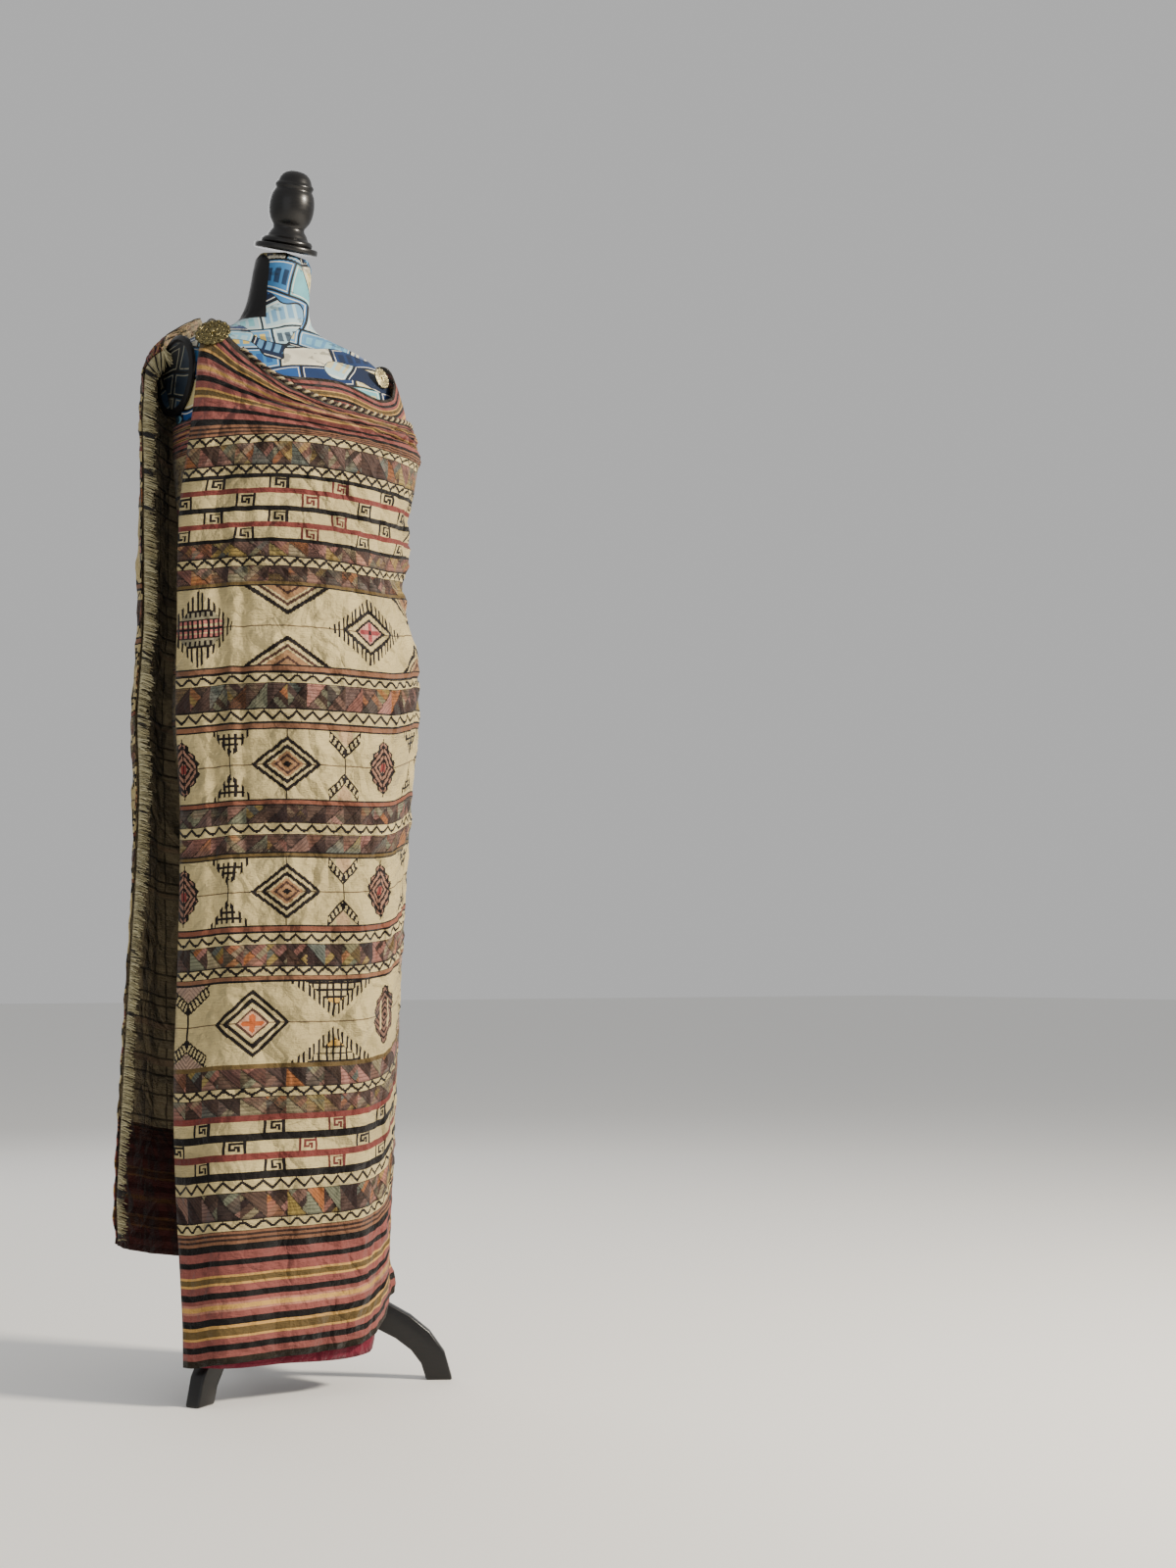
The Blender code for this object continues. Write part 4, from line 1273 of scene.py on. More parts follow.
@dataclass(frozen=True)
class PatchworkPrint:
    """Cotton printed with overlapping plain panels in blues, creams and yellow with dark
    outlines, glued smooth over the form."""

    name: str
    palette: tuple[str, ...]
    outline: str = "#14171d"
    trim: str = "#e2ddcc"
    wide: float = 0.078
    tall: float = 0.041
    piping: bool = False
    plate_middle: tuple[float, float] = (0.043, 1.379)
    plate_half: tuple[float, float] = (0.057, 0.056)
    piping_from: float = 0.66
    strip_out: float = 0.0330
    strip_foot: float = 1.476

    def panels(
        self, look: Look, x: Field, z: Field, tilt: float, seed: float
    ) -> bpy.types.NodeSocket:
        """One layer of framed panels in uneven rows.

        Args:
            look: Material under construction.
            x: Metres across.
            z: Metres up.
            tilt: How much the rows climb.
            seed: Changes the layer's colours and breaks.

        Returns:
            The layer's colour.
        """
        up = z + x * tilt + seed * 0.0013
        row = (up / self.tall).math("FLOOR")
        along = x + look.chance(row + seed) * self.wide - up * tilt
        key = row * 5.31 + (along / self.wide).math("FLOOR") * 1.73 + seed
        in_x = (along.beat(self.wide) - 0.5).size() * -self.wide + self.wide / 2
        in_y = (up.beat(self.tall) - 0.5).size() * -self.tall + self.tall / 2
        inset = in_x.lesser(in_y)
        base = look.chip(key, self.palette)
        other = look.chip(key + 50.0, self.palette)
        barred = look.chance(key + 3.0).above(0.45)
        bar = in_y.above(0.0115) * barred * along.beat(0.0135).above(0.34)
        base = look.mix(base, other, bar * inset.above(0.007) * 0.85)
        base = look.mix(base, self.trim, inset.between(0.0032, 0.0046))
        return look.mix(base, self.outline, inset.below(0.0016))

    def build(self) -> bpy.types.Material:
        """Makes the material.

        Returns:
            The finished material.
        """
        look = Look(self.name)
        where = look.own_place()
        x, y, z = look.axes(where)
        sway = look.speckle(where, (7.0, 7.0, 7.0), 1.0) - 0.5
        base = self.panels(look, (x - y * 0.6) + sway * 0.05, z + sway * 0.05, 0.18, 0.0)
        over = self.panels(look, (x - y * 0.6) + sway * 0.04, z - sway * 0.04, -0.24, 17.0)
        patch = look.speckle(where, (13.0, 13.0, 20.0), 0.0)
        base = look.mix(base, over, patch.above(0.50))
        base = look.mix(base, self.outline, patch.between(0.494, 0.503))
        smear = look.speckle(where, (38.0, 38.0, 70.0), 4.0)
        base = look.mix(base, self.outline, smear.above(0.62) * 0.45)
        worn = look.speckle(where, (30.0, 30.0, 30.0), 3.0) * 0.70 + 0.58
        base = look.tint(base, worn)
        if self.piping:
            across = (y - (POLE_AT[1] + self.plate_middle[0])) / self.plate_half[0]
            upright = (z - self.plate_middle[1]) / self.plate_half[1]
            rim = (across * across + upright * upright).above(self.piping_from)
            base = look.mix(base, "#0d0c0d", rim)
        else:
            strip = x.below(POLE_AT[0] - self.strip_out) * z.above(self.strip_foot)
            base = look.mix(base, "#0f0e0f", strip)
        look.set(Base_Color=base, Roughness=0.60, Specular_IOR_Level=0.35)
        look.bump(look.speckle(where, (700.0, 700.0, 700.0), 2.0), 0.2, 0.0004)
        return look.material


@dataclass(frozen=True)
class PaleFloor:
    """Matt off-white paper of a studio floor, without pattern."""

    colour: str = "#f1f0ed"

    def build(self) -> bpy.types.Material:
        """Makes the material.

        Returns:
            The finished material.
        """
        look = Look("matt_white_paper")
        look.set(Base_Color=self.colour, Roughness=0.95, Specular_IOR_Level=0.1)
        return look.material


# Pieces


def link_mesh(
    name: str, mesh: bpy.types.Mesh, finish: bpy.types.Material, smooth: bool = True
) -> bpy.types.Object:
    """Puts a mesh into the scene with one material.

    Args:
        name: Name of the piece.
        mesh: Its mesh, in place.
        finish: Its material.
        smooth: Whether its faces are shaded smooth.

    Returns:
        The new object.
    """
    obj = bpy.data.objects.new(name, mesh)
    bpy.context.collection.objects.link(obj)
    mesh.materials.append(finish)
    mesh.polygons.foreach_set("use_smooth", np.full(len(mesh.polygons), smooth))
    return obj


def tubes(
    name: str, paths: Sequence[np.ndarray], radii: Sequence[np.ndarray], roundness: int
) -> bpy.types.Mesh:
    """Makes round strands along paths, all with as many points.

    Args:
        name: Name of the mesh.
        paths: Points of each strand.
        radii: Radius at each point of each strand.
        roundness: Bevel resolution of the section; 0 gives it four sides.

    Returns:
        One mesh with every strand, closed at both ends.
    """
    curve = bpy.data.curves.new(name, "CURVE")
    curve.dimensions = "3D"
    curve.bevel_depth = 1.0
    curve.bevel_resolution = roundness
    curve.use_fill_caps = True
    for path, radius in zip(paths, radii):
        spline = curve.splines.new("POLY")
        spline.points.add(len(path) - 1)
        flat = np.concatenate([path, np.ones((len(path), 1))], axis=1)
        spline.points.foreach_set("co", flat.ravel())
        spline.points.foreach_set("radius", np.asarray(radius, float))
    holder = bpy.data.objects.new(name + "_curve", curve)
    bpy.context.collection.objects.link(holder)
    whole = holder.evaluated_get(bpy.context.evaluated_depsgraph_get())
    mesh = bpy.data.meshes.new_from_object(whole)
    bpy.data.objects.remove(holder, do_unlink=True)
    bpy.data.curves.remove(curve)
    mesh.name = name
    mesh.materials.clear()
    return mesh


def paint_strands(mesh: bpy.types.Mesh, colours: Sequence[str]) -> None:
    """Gives each strand of a mesh from tubes() its own colour, in the attribute "ground".

    Args:
        mesh: The strands.
        colours: One hex code for each strand.
    """
    faces = len(mesh.polygons) // len(colours)
    counts = np.empty(len(mesh.polygons), int)
    mesh.polygons.foreach_get("loop_total", counts)
    strand = np.minimum(np.arange(len(mesh.polygons)) // faces, len(colours) - 1)
    shades = np.array([linear(code) for code in colours])[np.repeat(strand, counts)]
    made = mesh.attributes.new("ground", "FLOAT_COLOR", "CORNER")
    made.data.foreach_set("color", shades.ravel())


@dataclass
class Kira:
    """The wrapped cloth: one sheet with its face and its reverse."""

    drape: Drape
    thick: float = 0.0018
    tallest_row: float = 0.0105
    spans: tuple[tuple[float, float, float], ...] = (
        (0.0, 0.20, 0.0068),
        (0.20, 0.55, 0.0085),
        (0.55, 1.04, 0.0056),
        (1.04, 1.52, 0.0100),
        (1.52, CLOTH_LENGTH, 0.0220),
    )
    turned_under: float = 1.03
    facing_up: float = 0.06
    bands: list[Band] = field(default_factory=all_bands)

    def columns(self) -> np.ndarray:
        """Spaces the sheet's columns, closer where more of it shows.

        Returns:
            Places along the cloth.
        """
        places = [0.0]
        for low, high, step in self.spans:
            places += list(np.linspace(low, high, max(round((high - low) / step), 1) + 1)[1:])
        return np.array(places)

    def rows(self) -> tuple[np.ndarray, np.ndarray]:
        """Spaces the sheet's rows, with one on every band's edge.

        Returns:
            Heights of the rows, and the band between each row and the next.
        """
        heights = [0.0]
        owners = []
        low = 0.0
        for i, band in enumerate(self.bands):
            high = band.top / 1000
            parts = max(math.ceil((high - low) / self.tallest_row), 1)
            heights += list(np.linspace(low, high, parts + 1)[1:])
            owners += [i] * parts
            low = high
        return np.array(heights), np.array(owners)

    def build(self) -> bpy.types.Object:
        """Makes the sheet and its attributes.

        Returns:
            The sheet, without its thickness.
        """
        places = self.columns()
        heights, owners = self.rows()
        ups = np.clip(heights / CLOTH_WIDTH, 0.0, 1.0)
        grid = np.stack([self.drape.column(at, ups) for at in places])
        wide, tall = len(places), len(heights)
        bm = bmesh.new()
        bmesh.ops.create_grid(bm, x_segments=wide - 1, y_segments=tall - 1, size=1.0)
        flat = np.array([vert.co[:2] for vert in bm.verts])
        column = np.rint((flat[:, 0] + 1) / 2 * (wide - 1)).astype(int)
        row = np.rint((flat[:, 1] + 1) / 2 * (tall - 1)).astype(int)
        mesh = bpy.data.meshes.new("kira_cloth")
        bm.to_mesh(mesh)
        bm.free()
        mesh.vertices.foreach_set("co", grid[column, row].ravel())
        self.write_weave(mesh, places[column], heights[row], row, owners)
        mesh.flip_normals()
        mesh.update()
        return link_mesh("kira_cloth", mesh, KiraFace().build())

    def write_weave(
        self,
        mesh: bpy.types.Mesh,
        u: np.ndarray,
        v: np.ndarray,
        row: np.ndarray,
        owners: np.ndarray,
    ) -> None:
        """Writes the cloth's own coordinates, its bands and its stripes to the mesh.

        Args:
            mesh: The sheet.
            u: Metres along for each vertex.
            v: Metres up for each vertex.
            row: Row of each vertex.
            owners: Band between each row and the next.
        """
        corners = np.empty(len(mesh.loops), int)
        mesh.loops.foreach_get("vertex_index", corners)
        lowest = row[corners].reshape(-1, 4).min(axis=1)
        band = np.repeat(owners[lowest], 4)
        lows = np.array([0.0] + [b.top / 1000 for b in self.bands[:-1]])
        tops = np.array([b.top / 1000 for b in self.bands])
        kinds = np.array([float(b.kind.value) for b in self.bands])
        shades = np.array([linear(b.colour) for b in self.bands])
        uv = mesh.uv_layers.new(name="weave")
        uv.uv.foreach_set("vector", np.stack([u[corners], v[corners]], 1).ravel())
        local = np.stack([kinds[band], v[corners] - lows[band], (tops - lows)[band]], 1)
        made = mesh.attributes.new("band", "FLOAT_VECTOR", "CORNER")
        made.data.foreach_set("vector", local.ravel())
        colour = shades[band]
        under = (u[corners] > self.turned_under) & (v[corners] < self.facing_up)
        colour[under] = linear(MAROON)
        made = mesh.attributes.new("ground", "FLOAT_COLOR", "CORNER")
        made.data.foreach_set("color", colour.ravel())

    def dress(self, obj: bpy.types.Object, pieces: Sequence[bpy.types.Object]) -> None:
        """Args:
            obj: The sheet.
            pieces: The pieces sewn to it or part of its edge; not used.
        """
        obj.data.materials.append(KiraReverse().build())
        wall = obj.modifiers.new("thickness", "SOLIDIFY")
        wall.thickness = self.thick
        wall.offset = 0.0
        wall.use_even_offset = False
        wall.material_offset = 1
        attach(obj, ROOT)
        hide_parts("kira")


@dataclass
class Fringe:
    """Loose warp ends along the cloth's free end, in clumps that curl to the reverse."""

    drape: Drape
    strands: int = 1300
    long: float = 0.0220
    thick: float = 0.00095
    points: int = 6
    clump: float = 0.0135
    sag: float = 0.0045
    stray: float = 0.0030
    seed: int = 3
    tones: tuple[str, ...] = ("#b3a981", "#9c926c", "#c4bb95", "#877d5a")
    bands: list[Band] = field(default_factory=all_bands)

    def shade(self, up: float, pick: int) -> str:
        """Finds the colour of the stripe that an end comes from.

        Args:
            up: Share of the width where the end is.
            pick: Which of the plain tones it has outside the border.

        Returns:
            The colour's hex code.
        """
        height = up * CLOTH_WIDTH * 1000
        band = next((b for b in self.bands if b.top >= height), self.bands[-1])
        if band.kind is Kind.PLAIN and (height < BORDER[-1].top or band.colour == BLACK):
            return band.colour
        return self.tones[pick]

    def build(self) -> bpy.types.Object:
        """Makes every strand.

        Returns:
            The fringe.
        """
        rng = np.random.default_rng(self.seed)
        clumps = round(CLOTH_WIDTH / self.clump) + 1
        curls = rng.uniform(0.9, 1.5, clumps)
        longs = rng.uniform(0.85, 1.08, clumps)
        paths, radii, colours = [], [], []
        share = np.linspace(0.0, 1.0, self.points)
        for i in range(self.strands):
            up = 0.003 + 0.994 * (i + rng.uniform(0.1, 0.9)) / self.strands
            root = np.array(self.drape.point(0.0005, up))
            way = np.array((self.drape.point(0.0, up) - self.drape.point(0.01, up)).normalized())
            back = -np.array(self.drape.normal(0.003, up))
            which, within = divmod(up * CLOTH_WIDTH / self.clump, 1.0)
            after = min(int(which) + 1, clumps - 1)
            curl = curls[int(which)] * (1 - within) + curls[after] * within
            curl += rng.uniform(-0.3, 0.3)
            long = longs[int(which)] * (1 - within) + longs[after] * within
            step = self.long * long * rng.uniform(0.8, 1.12) / (self.points - 1)
            turns = curl * (0.25 + share[:-1])
            along = np.concatenate([[0.0], np.cumsum(np.cos(turns))]) * step
            aside = np.concatenate([[0.0], np.cumsum(np.sin(turns))]) * step
            path = root + along[:, None] * way + aside[:, None] * back
            gather = (0.5 - within) * self.clump * 0.12
            path[:, 2] += gather * share - self.sag * share**2
            path[:, 2] += rng.uniform(-self.stray, self.stray) * share
            paths.append(path)
            radii.append(self.thick * (1.15 - 0.60 * share))
            colours.append(self.shade(up, int(rng.integers(len(self.tones)))))
        mesh = tubes("warp_end_fringe", paths, radii, 0)
        paint_strands(mesh, colours)
        return link_mesh("warp_end_fringe", mesh, CottonEnds("cut_cotton_warp_ends").build())

    def dress(self, obj: bpy.types.Object) -> None:
        """Hands the fringe over to the frame.

        Args:
            obj: The fringe.
        """
        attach(obj, ROOT)
        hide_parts("fringe")


@dataclass
class LoopedTrim:
    """Two cords, cream and brown, looped round each other along the top selvedge."""

    drape: Drape
    start: float = 0.560
    end: float = 0.945
    rise: float = 0.0036
    out: float = 0.0014
    swing: float = 0.0022
    cord: float = 0.00185
    pitch: float = 0.0132
    per_pitch: int = 8

    def build(self) -> bpy.types.Object:
        """Makes both cords as one piece.

        Returns:
            The trim.
        """
        count = round((self.end - self.start) / self.pitch * self.per_pitch)
        places = np.linspace(self.start, self.end, count)
        paths = [[], []]
        for at in places:
            top = self.drape.point(at, 1.0)
            edge = self.drape.point(at + 0.004, 1.0) - self.drape.point(at - 0.004, 1.0)
            normal = self.drape.normal(at, 0.998)
            lift = edge.cross(normal).normalized()
            middle = top + lift * self.rise + normal * self.out
            for k in range(2):
                angle = 2 * math.pi * at / self.pitch + math.pi * k
                swing = lift * math.cos(angle) + normal * math.sin(angle)
                paths[k].append(middle + swing * self.swing)
        radii = [np.full(count, self.cord)] * 2
        mesh = tubes("looped_selvedge_trim", [np.array(p) for p in paths], radii, 1)
        paint_strands(mesh, ["#ab9a74", "#2c1f19"])
        finish = CottonEnds("twisted_cotton_cord", 0.25).build()
        return link_mesh("looped_selvedge_trim", mesh, finish)

    def dress(self, obj: bpy.types.Object) -> None:
        """Hands the trim over to the frame.

        Args:
            obj: The trim.
        """
        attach(obj, ROOT)
        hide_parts("selvedge_braid")


@dataclass
class Brooch:
    """Round openwork brooch with a beaded scalloped rim and a raised middle."""

    node: str
    radius: float
    finish: AgedGilt
    scallops: int = 14
    petals: int = 8
    thick: float = 0.0022
    rounding: float = 0.0006

    def place(self) -> Matrix:
        """Finds where the solid brooch sits.

        Returns:
            The move that stands +Z along its axis, away from the form, at its underside.
        """
        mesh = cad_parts[self.node].data
        points = np.empty(len(mesh.vertices) * 3)
        mesh.vertices.foreach_get("co", points)
        points = np.unique(points.reshape(-1, 3).round(6), axis=0)
        middle = points.mean(axis=0)
        normal = np.linalg.svd(points - middle)[2][2]
        away = middle - np.array((*POLE_AT, middle[2]))
        if normal @ away < 0:
            normal = -normal
        low = ((points - middle) @ normal).min()
        base = Vector(middle + normal * low)
        turn = Vector(normal).to_track_quat("Z", "Y").to_matrix().to_4x4()
        return Matrix.Translation(base) @ turn

    def bead(
        self, bm: bmesh.types.BMesh, radius: float, spot: tuple[float, float, float], flat: float
    ) -> None:
        """Adds a small flattened ball.

        Args:
            bm: Mesh to add to.
            radius: Its radius.
            spot: Its middle.
            flat: Share of its height that is left.
        """
        shape = Matrix.Translation(spot) @ Matrix.Diagonal((1.0, 1.0, flat, 1.0))
        bmesh.ops.create_icosphere(bm, subdivisions=2, radius=radius, matrix=shape)

    def hoop(self, bm: bmesh.types.BMesh, radius: float, wire: float, height: float) -> None:
        """Adds a ring of round wire.

        Args:
            bm: Mesh to add to.
            radius: Radius of the ring.
            wire: Radius of the wire.
            height: Height of the ring's middle.
        """
        stand = Matrix.Translation((radius, 0.0, height)) @ Matrix.Rotation(math.pi / 2, 4, "X")
        section = bmesh.ops.create_circle(bm, segments=8, radius=wire, matrix=stand)
        edges = list({edge for vert in section["verts"] for edge in vert.link_edges})
        bmesh.ops.spin(
            bm, geom=section["verts"] + edges, cent=(0.0, 0.0, height), axis=(0.0, 0.0, 1.0),
            angle=2 * math.pi, steps=48, use_merge=True,
        )

    def build(self) -> bpy.types.Object:
        """Makes the plate, its wires and its beads.

        Returns:
            The brooch.
        """
        bm = bmesh.new()
        points = self.scallops * 8
        made = bmesh.ops.create_circle(bm, cap_ends=True, segments=points, radius=self.radius)
        for vert in made["verts"]:
            angle = math.atan2(vert.co.y, vert.co.x)
            lobe = abs(math.cos(self.scallops * angle / 2)) ** 0.7
            vert.co.xy *= 1.0 - 0.075 * (1.0 - lobe)
        plate = bmesh.ops.extrude_face_region(bm, geom=list(bm.faces))
        top = [item for item in plate["geom"] if isinstance(item, bmesh.types.BMVert)]
        bmesh.ops.translate(bm, verts=top, vec=(0.0, 0.0, self.thick))
        bmesh.ops.recalc_face_normals(bm, faces=bm.faces)
        rim = [edge for edge in bm.edges if all(vert in top for vert in edge.verts)]
        bmesh.ops.bevel(
            bm, geom=rim, offset=self.rounding, offset_type="OFFSET", segments=2, profile=0.5,
            affect="EDGES", material=-1,
        )
        r, z = self.radius, self.thick
        self.hoop(bm, r * 0.74, r * 0.030, z)
        self.hoop(bm, r * 0.44, r * 0.034, z)
        for k in range(self.scallops):
            angle = 2 * math.pi * k / self.scallops
            cos, sin = math.cos(angle), math.sin(angle)
            self.bead(bm, r * 0.080, (r * 0.865 * cos, r * 0.865 * sin, z), 0.7)
            angle += math.pi / self.scallops
            cos, sin = math.cos(angle), math.sin(angle)
            self.bead(bm, r * 0.052, (r * 0.590 * cos, r * 0.590 * sin, z), 0.9)
        for k in range(self.petals):
            angle = 2 * math.pi * k / self.petals
            petal = Matrix.Rotation(angle, 4, "Z") @ Matrix.Translation((r * 0.24, 0.0, z))
            petal = petal @ Matrix.Diagonal((1.9, 0.75, 0.65, 1.0))
            bmesh.ops.create_icosphere(bm, subdivisions=2, radius=r * 0.082, matrix=petal)
        self.bead(bm, r * 0.135, (0.0, 0.0, z + r * 0.05), 0.8)
        bm.transform(self.place())
        mesh = bpy.data.meshes.new(self.node + "_openwork")
        bm.to_mesh(mesh)
        bm.free()
        return link_mesh(self.node + "_openwork", mesh, self.finish.build())

    def dress(self, obj: bpy.types.Object) -> None:
        """Hands the brooch over to the frame.

        Args:
            obj: The brooch.
        """
        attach(obj, ROOT)
        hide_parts(self.node)


@dataclass
class FormPart:
    """A hard part of the dress form, finished from its own solid."""

    node: str
    finish: bpy.types.Material
    slot: str
    bevel: float = 0.0
    bevel_steps: int = 3
    sharp: float = math.radians(35)
    smooth_levels: int = 0

    def build(self) -> bpy.types.Object:
        """Copies the solid, merges its triangles and softens it.

        Returns:
            The finished part.
        """
        bm = bmesh.new()
        bm.from_mesh(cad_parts[self.node].data)
        bmesh.ops.remove_doubles(bm, verts=bm.verts, dist=1e-5)
        bmesh.ops.dissolve_limit(bm, angle_limit=math.radians(1.0), verts=bm.verts, edges=bm.edges)
        mesh = bpy.data.meshes.new(self.node + "_finished")
        bm.to_mesh(mesh)
        bm.free()
        obj = link_mesh(self.node + "_finished", mesh, self.finish)
        if self.bevel:
            edge = obj.modifiers.new("edges", "BEVEL")
            edge.width = self.bevel
            edge.segments = self.bevel_steps
            edge.limit_method = "ANGLE"
            edge.angle_limit = self.sharp
            edge.use_clamp_overlap = True
        if self.smooth_levels:
            soft = obj.modifiers.new("soft", "SUBSURF")
            soft.levels = soft.render_levels = self.smooth_levels
        return obj

    def dress(self, obj: bpy.types.Object) -> None:
        """Hands the part over to the frame.

        Args:
            obj: The part.
        """
        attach(obj, ROOT)
        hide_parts(self.node)


class Turning(NamedTuple):
    """Radius and height of a turned profile's point, in metres above the neck's top."""

    r: float
    z: float


@dataclass
class Finial:
    """Turned finial with its cap disc, spun from a profile, on the leaning neck."""

    finish: bpy.types.Material
    lean: float = math.radians(17.0)
    top_y: float = 0.025
    top_z: float = 1.577
    cap: tuple[Turning, ...] = (
        Turning(0.0, 0.0003), Turning(0.0440, 0.0003), Turning(0.0450, 0.0013),
        Turning(0.0450, 0.0064), Turning(0.0440, 0.0076), Turning(0.0, 0.0078),
    )
    knob: tuple[Turning, ...] = (
        Turning(0.0, 0.0081), Turning(0.0345, 0.0081), Turning(0.0365, 0.0105),
        Turning(0.0365, 0.0135), Turning(0.0345, 0.0165), Turning(0.0300, 0.0180),
        Turning(0.0288, 0.0205), Turning(0.0265, 0.0250), Turning(0.0232, 0.0290),
        Turning(0.0224, 0.0318), Turning(0.0228, 0.0345), Turning(0.0256, 0.0380),
        Turning(0.0285, 0.0425), Turning(0.0308, 0.0490), Turning(0.0319, 0.0560),
        Turning(0.0321, 0.0640), Turning(0.0313, 0.0710), Turning(0.0298, 0.0775),
        Turning(0.0275, 0.0820), Turning(0.0260, 0.0840), Turning(0.0262, 0.0862),
        Turning(0.0273, 0.0880), Turning(0.0275, 0.0898), Turning(0.0266, 0.0917),
        Turning(0.0250, 0.0930), Turning(0.0240, 0.0950), Turning(0.0226, 0.0990),
        Turning(0.0200, 0.1030), Turning(0.0160, 0.1068), Turning(0.0105, 0.1093),
        Turning(0.0050, 0.1103), Turning(0.0, 0.1105),
    )

    def build(self) -> list[bpy.types.Object]:
        """Spins both pieces."""
        return [self.spun("neck_cap_turned", self.cap), self.spun("finial_turned", self.knob)]

    def spun(self, name: str, profile: Sequence[Turning]) -> bpy.types.Object:
        """Spins one profile round the neck's axis.

        Args:
            name: Name of the piece.
            profile: Its points, from the underside's middle to the top's.

        Returns:
            The piece.
        """
        bm = bmesh.new()
        verts = [bm.verts.new((step.r, 0.0, step.z)) for step in profile]
        edges = [bm.edges.new(pair) for pair in zip(verts, verts[1:])]
        bmesh.ops.spin(
            bm, geom=verts + edges, cent=(0.0, 0.0, 0.0), axis=(0.0, 0.0, 1.0),
            angle=2 * math.pi, steps=72, use_merge=True,
        )
        bmesh.ops.remove_doubles(bm, verts=bm.verts, dist=1e-6)
        bmesh.ops.recalc_face_normals(bm, faces=bm.faces)
        spot = Matrix.Translation((POLE_AT[0], POLE_AT[1] + self.top_y, self.top_z))
        bm.transform(spot @ Matrix.Rotation(self.lean, 4, "X"))
        mesh = bpy.data.meshes.new(name)
        bm.to_mesh(mesh)
        bm.free()
        return link_mesh(name, mesh, self.finish)

    def dress(self, pieces: Sequence[bpy.types.Object]) -> None:
        """Hands both pieces over to the frame.

        Args:
            pieces: The cap disc and the knob.
        """
        for obj, node in zip(pieces, ("neck_cap", "finial")):
            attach(obj, ROOT)
            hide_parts(node)


@dataclass
class Studio:
    """Pale floor, soft lamps and the camera of the photograph."""

    distance: float = 3.0
    height: float = 0.565
    yaw: float = math.radians(28.0)
    off: float = math.radians(5.274)
    pitch: float = math.radians(2.286)
    focal: float = 49.46
    shift: tuple[float, float] = (0.0625, 0.0625)
    aim: float = 0.85
    surround: float = 0.52

    def floor(self) -> None:
        """Adds the floor."""
        bm = bmesh.new()
        bmesh.ops.create_grid(bm, x_segments=1, y_segments=1, size=30.0)
        mesh = bpy.data.meshes.new("floor")
        bm.to_mesh(mesh)
        bm.free()
        link_mesh("floor", mesh, PaleFloor().build(), smooth=False)

    def lamp(
        self, name: str, spot: tuple[float, float, float], size: float, power: float, colour: str
    ) -> None:
        """Adds a square soft lamp that faces the middle of the cloth.

        Args:
            name: Name of the lamp.
            spot: Where it hangs.
            size: Its side.
            power: Its power in watts.
            colour: Its light, as a hex code.
        """
        light = bpy.data.lights.new(name, "AREA")
        light.shape = "SQUARE"
        light.size = size
        light.energy = power
        light.color = linear(colour)[:3]
        obj = bpy.data.objects.new(name, light)
        bpy.context.collection.objects.link(obj)
        target = Vector((*POLE_AT, self.aim))
        obj.location = spot
        obj.rotation_euler = (target - Vector(spot)).to_track_quat("-Z", "Y").to_euler()

    def lamps(self) -> None:
        """Adds the lamps and the pale surroundings."""
        self.lamp("key", (2.1, -2.7, 2.5), 0.6, 250.0, "#fff4e2")
        self.lamp("fill", (-3.0, -2.4, 1.4), 2.6, 10.0, "#f6f9ff")
        self.lamp("back", (0.6, 3.0, 2.8), 2.4, 40.0, "#ffffff")
        world = bpy.data.worlds.new("surroundings")
        world.use_nodes = True
        ground = world.node_tree.nodes["Background"]
        ground.inputs["Color"].default_value = linear("#ffffff")
        ground.inputs["Strength"].default_value = self.surround
        bpy.context.scene.world = world

    def camera(self) -> None:
        """Adds the camera where the photograph was taken from."""
        data = bpy.data.cameras.new("camera")
        data.sensor_fit = "VERTICAL"
        data.sensor_height = 36.0
        data.lens = self.focal
        data.shift_x, data.shift_y = self.shift
        obj = bpy.data.objects.new("camera", data)
        bpy.context.collection.objects.link(obj)
        obj.location = (
            POLE_AT[0] - self.distance * math.sin(self.yaw),
            POLE_AT[1] - self.distance * math.cos(self.yaw),
            self.height,
        )
        obj.rotation_euler = (math.pi / 2 + self.pitch, 0.0, -(self.yaw + self.off))
        bpy.context.scene.camera = obj

    def build(self) -> None:
        """Adds everything round the object."""
        self.floor()
        self.lamps()
        self.camera()


def report(obj: bpy.types.Object) -> None:
    """Logs a piece with its size."""
    log.info("%s: %d vertices, %d faces", obj.name, len(obj.data.vertices), len(obj.data.polygons))


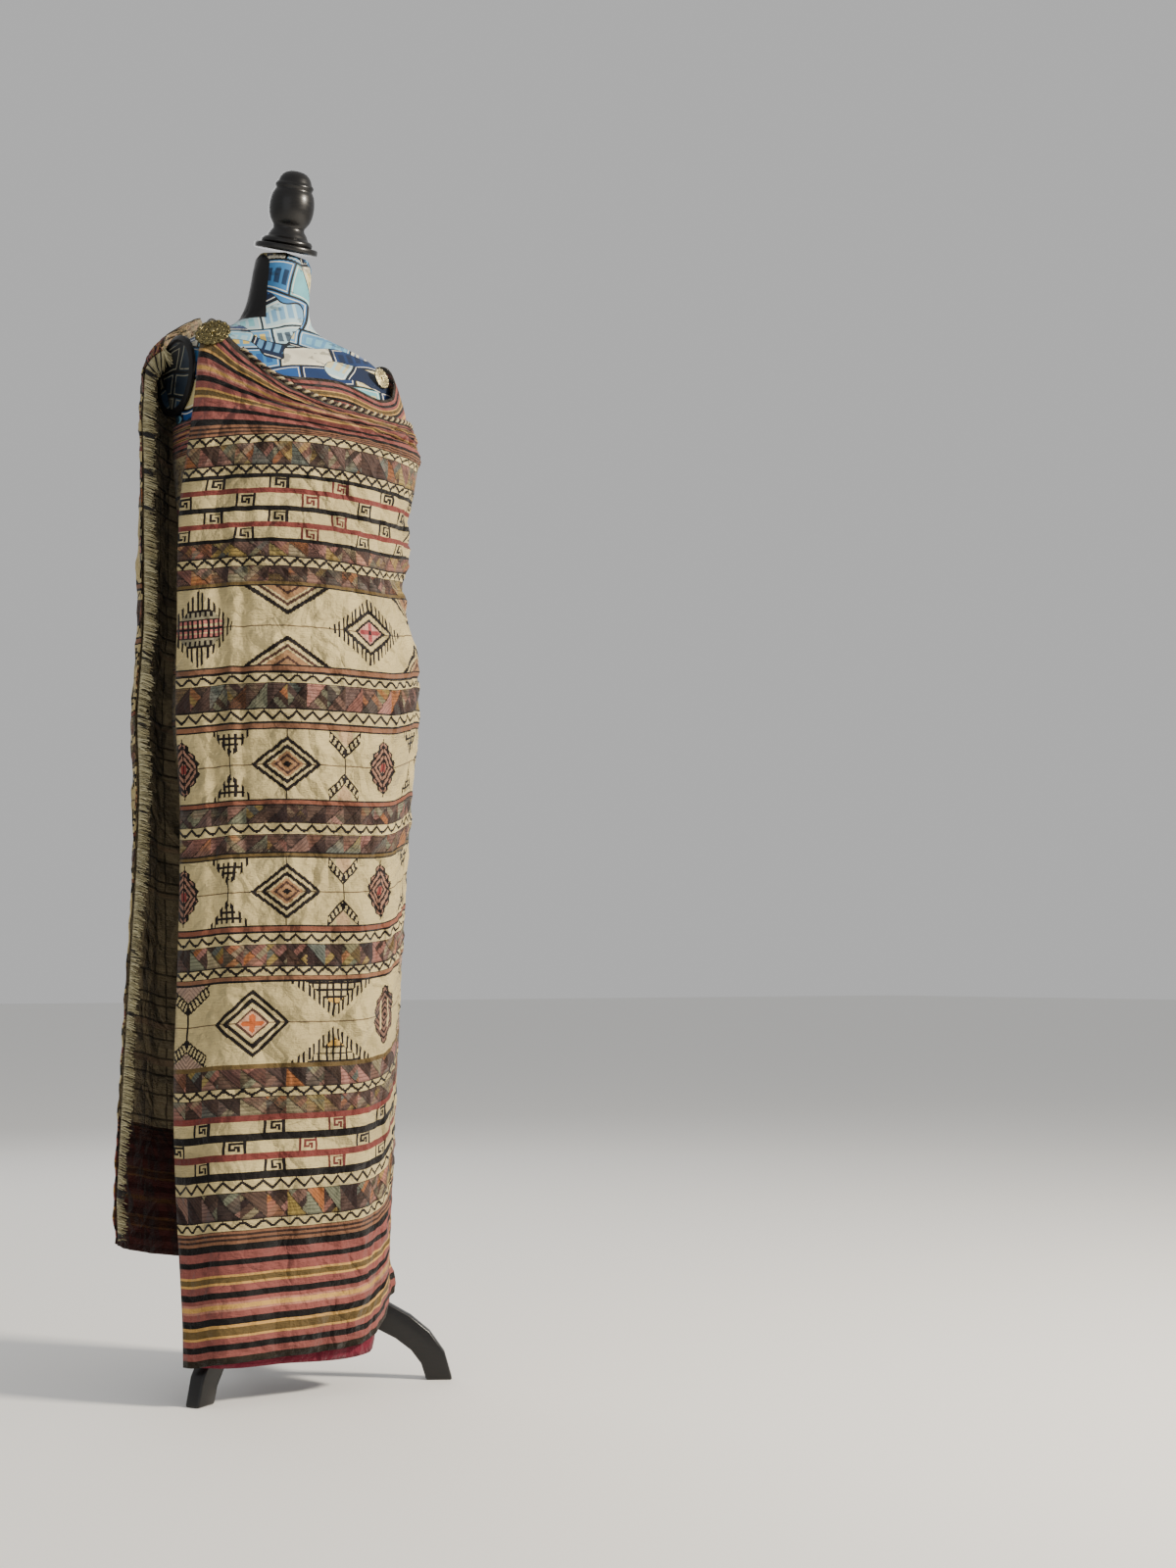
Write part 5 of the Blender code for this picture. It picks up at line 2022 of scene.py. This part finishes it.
def dress_form() -> None:
    """Finishes the hard parts of the form."""
    print_finish = PatchworkPrint(
        "printed_cotton_patchwork",
        ("#1f4f8c", "#c9c2aa", "#7fb6cc", "#3a78ad", "#dcb83a", "#d8d2bc", "#16305c", "#a9c6cd",
         "#5f93ba", "#cfc08a", "#0f1f3c", "#6fb3bd"),
    ).build()
    # The armhole plate's print is its own navy and black. It also carries painted shade from the
    # flap over it, which greys its cream outlines too.
    shaded_plate_finish = PatchworkPrint(
        "printed_cotton_patchwork_dark_shaded",
        ("#1a2836", "#101318", "#23384e", "#4a4a42", "#141a22", "#2c4258"),
        outline="#08090b", trim="#8b8874", wide=0.052, tall=0.034, piping=True,
    ).build()
    lacquer = BlackLacquer().build()
    parts = [
        FormPart("torso", print_finish, "print", smooth_levels=1),
        FormPart("armhole_plate", shaded_plate_finish, "print", bevel=0.0008),
        FormPart("base_disc", lacquer, "black_wood", bevel=0.002),
        FormPart("pole", lacquer, "black_wood", bevel=0.001),
        FormPart("hub", lacquer, "black_wood", bevel=0.003),
        FormPart("leg_1", lacquer, "black_wood", bevel=0.003),
        FormPart("leg_2", lacquer, "black_wood", bevel=0.003),
        FormPart("leg_3", lacquer, "black_wood", bevel=0.003),
    ]
    for part in parts:
        obj = part.build()
        part.dress(obj)
        report(obj)
    finial = Finial(lacquer)
    pieces = finial.build()
    finial.dress(pieces)
    for obj in pieces:
        report(obj)


def dress_cloth() -> None:
    """Makes the cloth and what is on it."""
    drape = Drape()
    fringe = Fringe(drape)
    ends = fringe.build()
    fringe.dress(ends)
    trim = LoopedTrim(drape)
    cords = trim.build()
    trim.dress(cords)
    kira = Kira(drape)
    cloth = kira.build()
    kira.dress(cloth, [ends, cords])
    brooches = [
        Brooch("brooch_shoulder", 0.0250, AgedGilt("aged_gilt_brass", "#9a8d62", "#2c2719")),
        Brooch("brooch_arm", 0.0150, AgedGilt("bright_gilt_brass", "#efe2b4", "#80704a")),
    ]
    for brooch in brooches:
        obj = brooch.build()
        brooch.dress(obj)
        report(obj)
    for obj in (ends, cords, cloth):
        report(obj)


def main() -> None:
    """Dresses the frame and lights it."""
    logging.basicConfig(level=logging.INFO, format="%(message)s")
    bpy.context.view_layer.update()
    dress_form()
    dress_cloth()
    Studio().build()


if __name__ == "__main__":
    main()
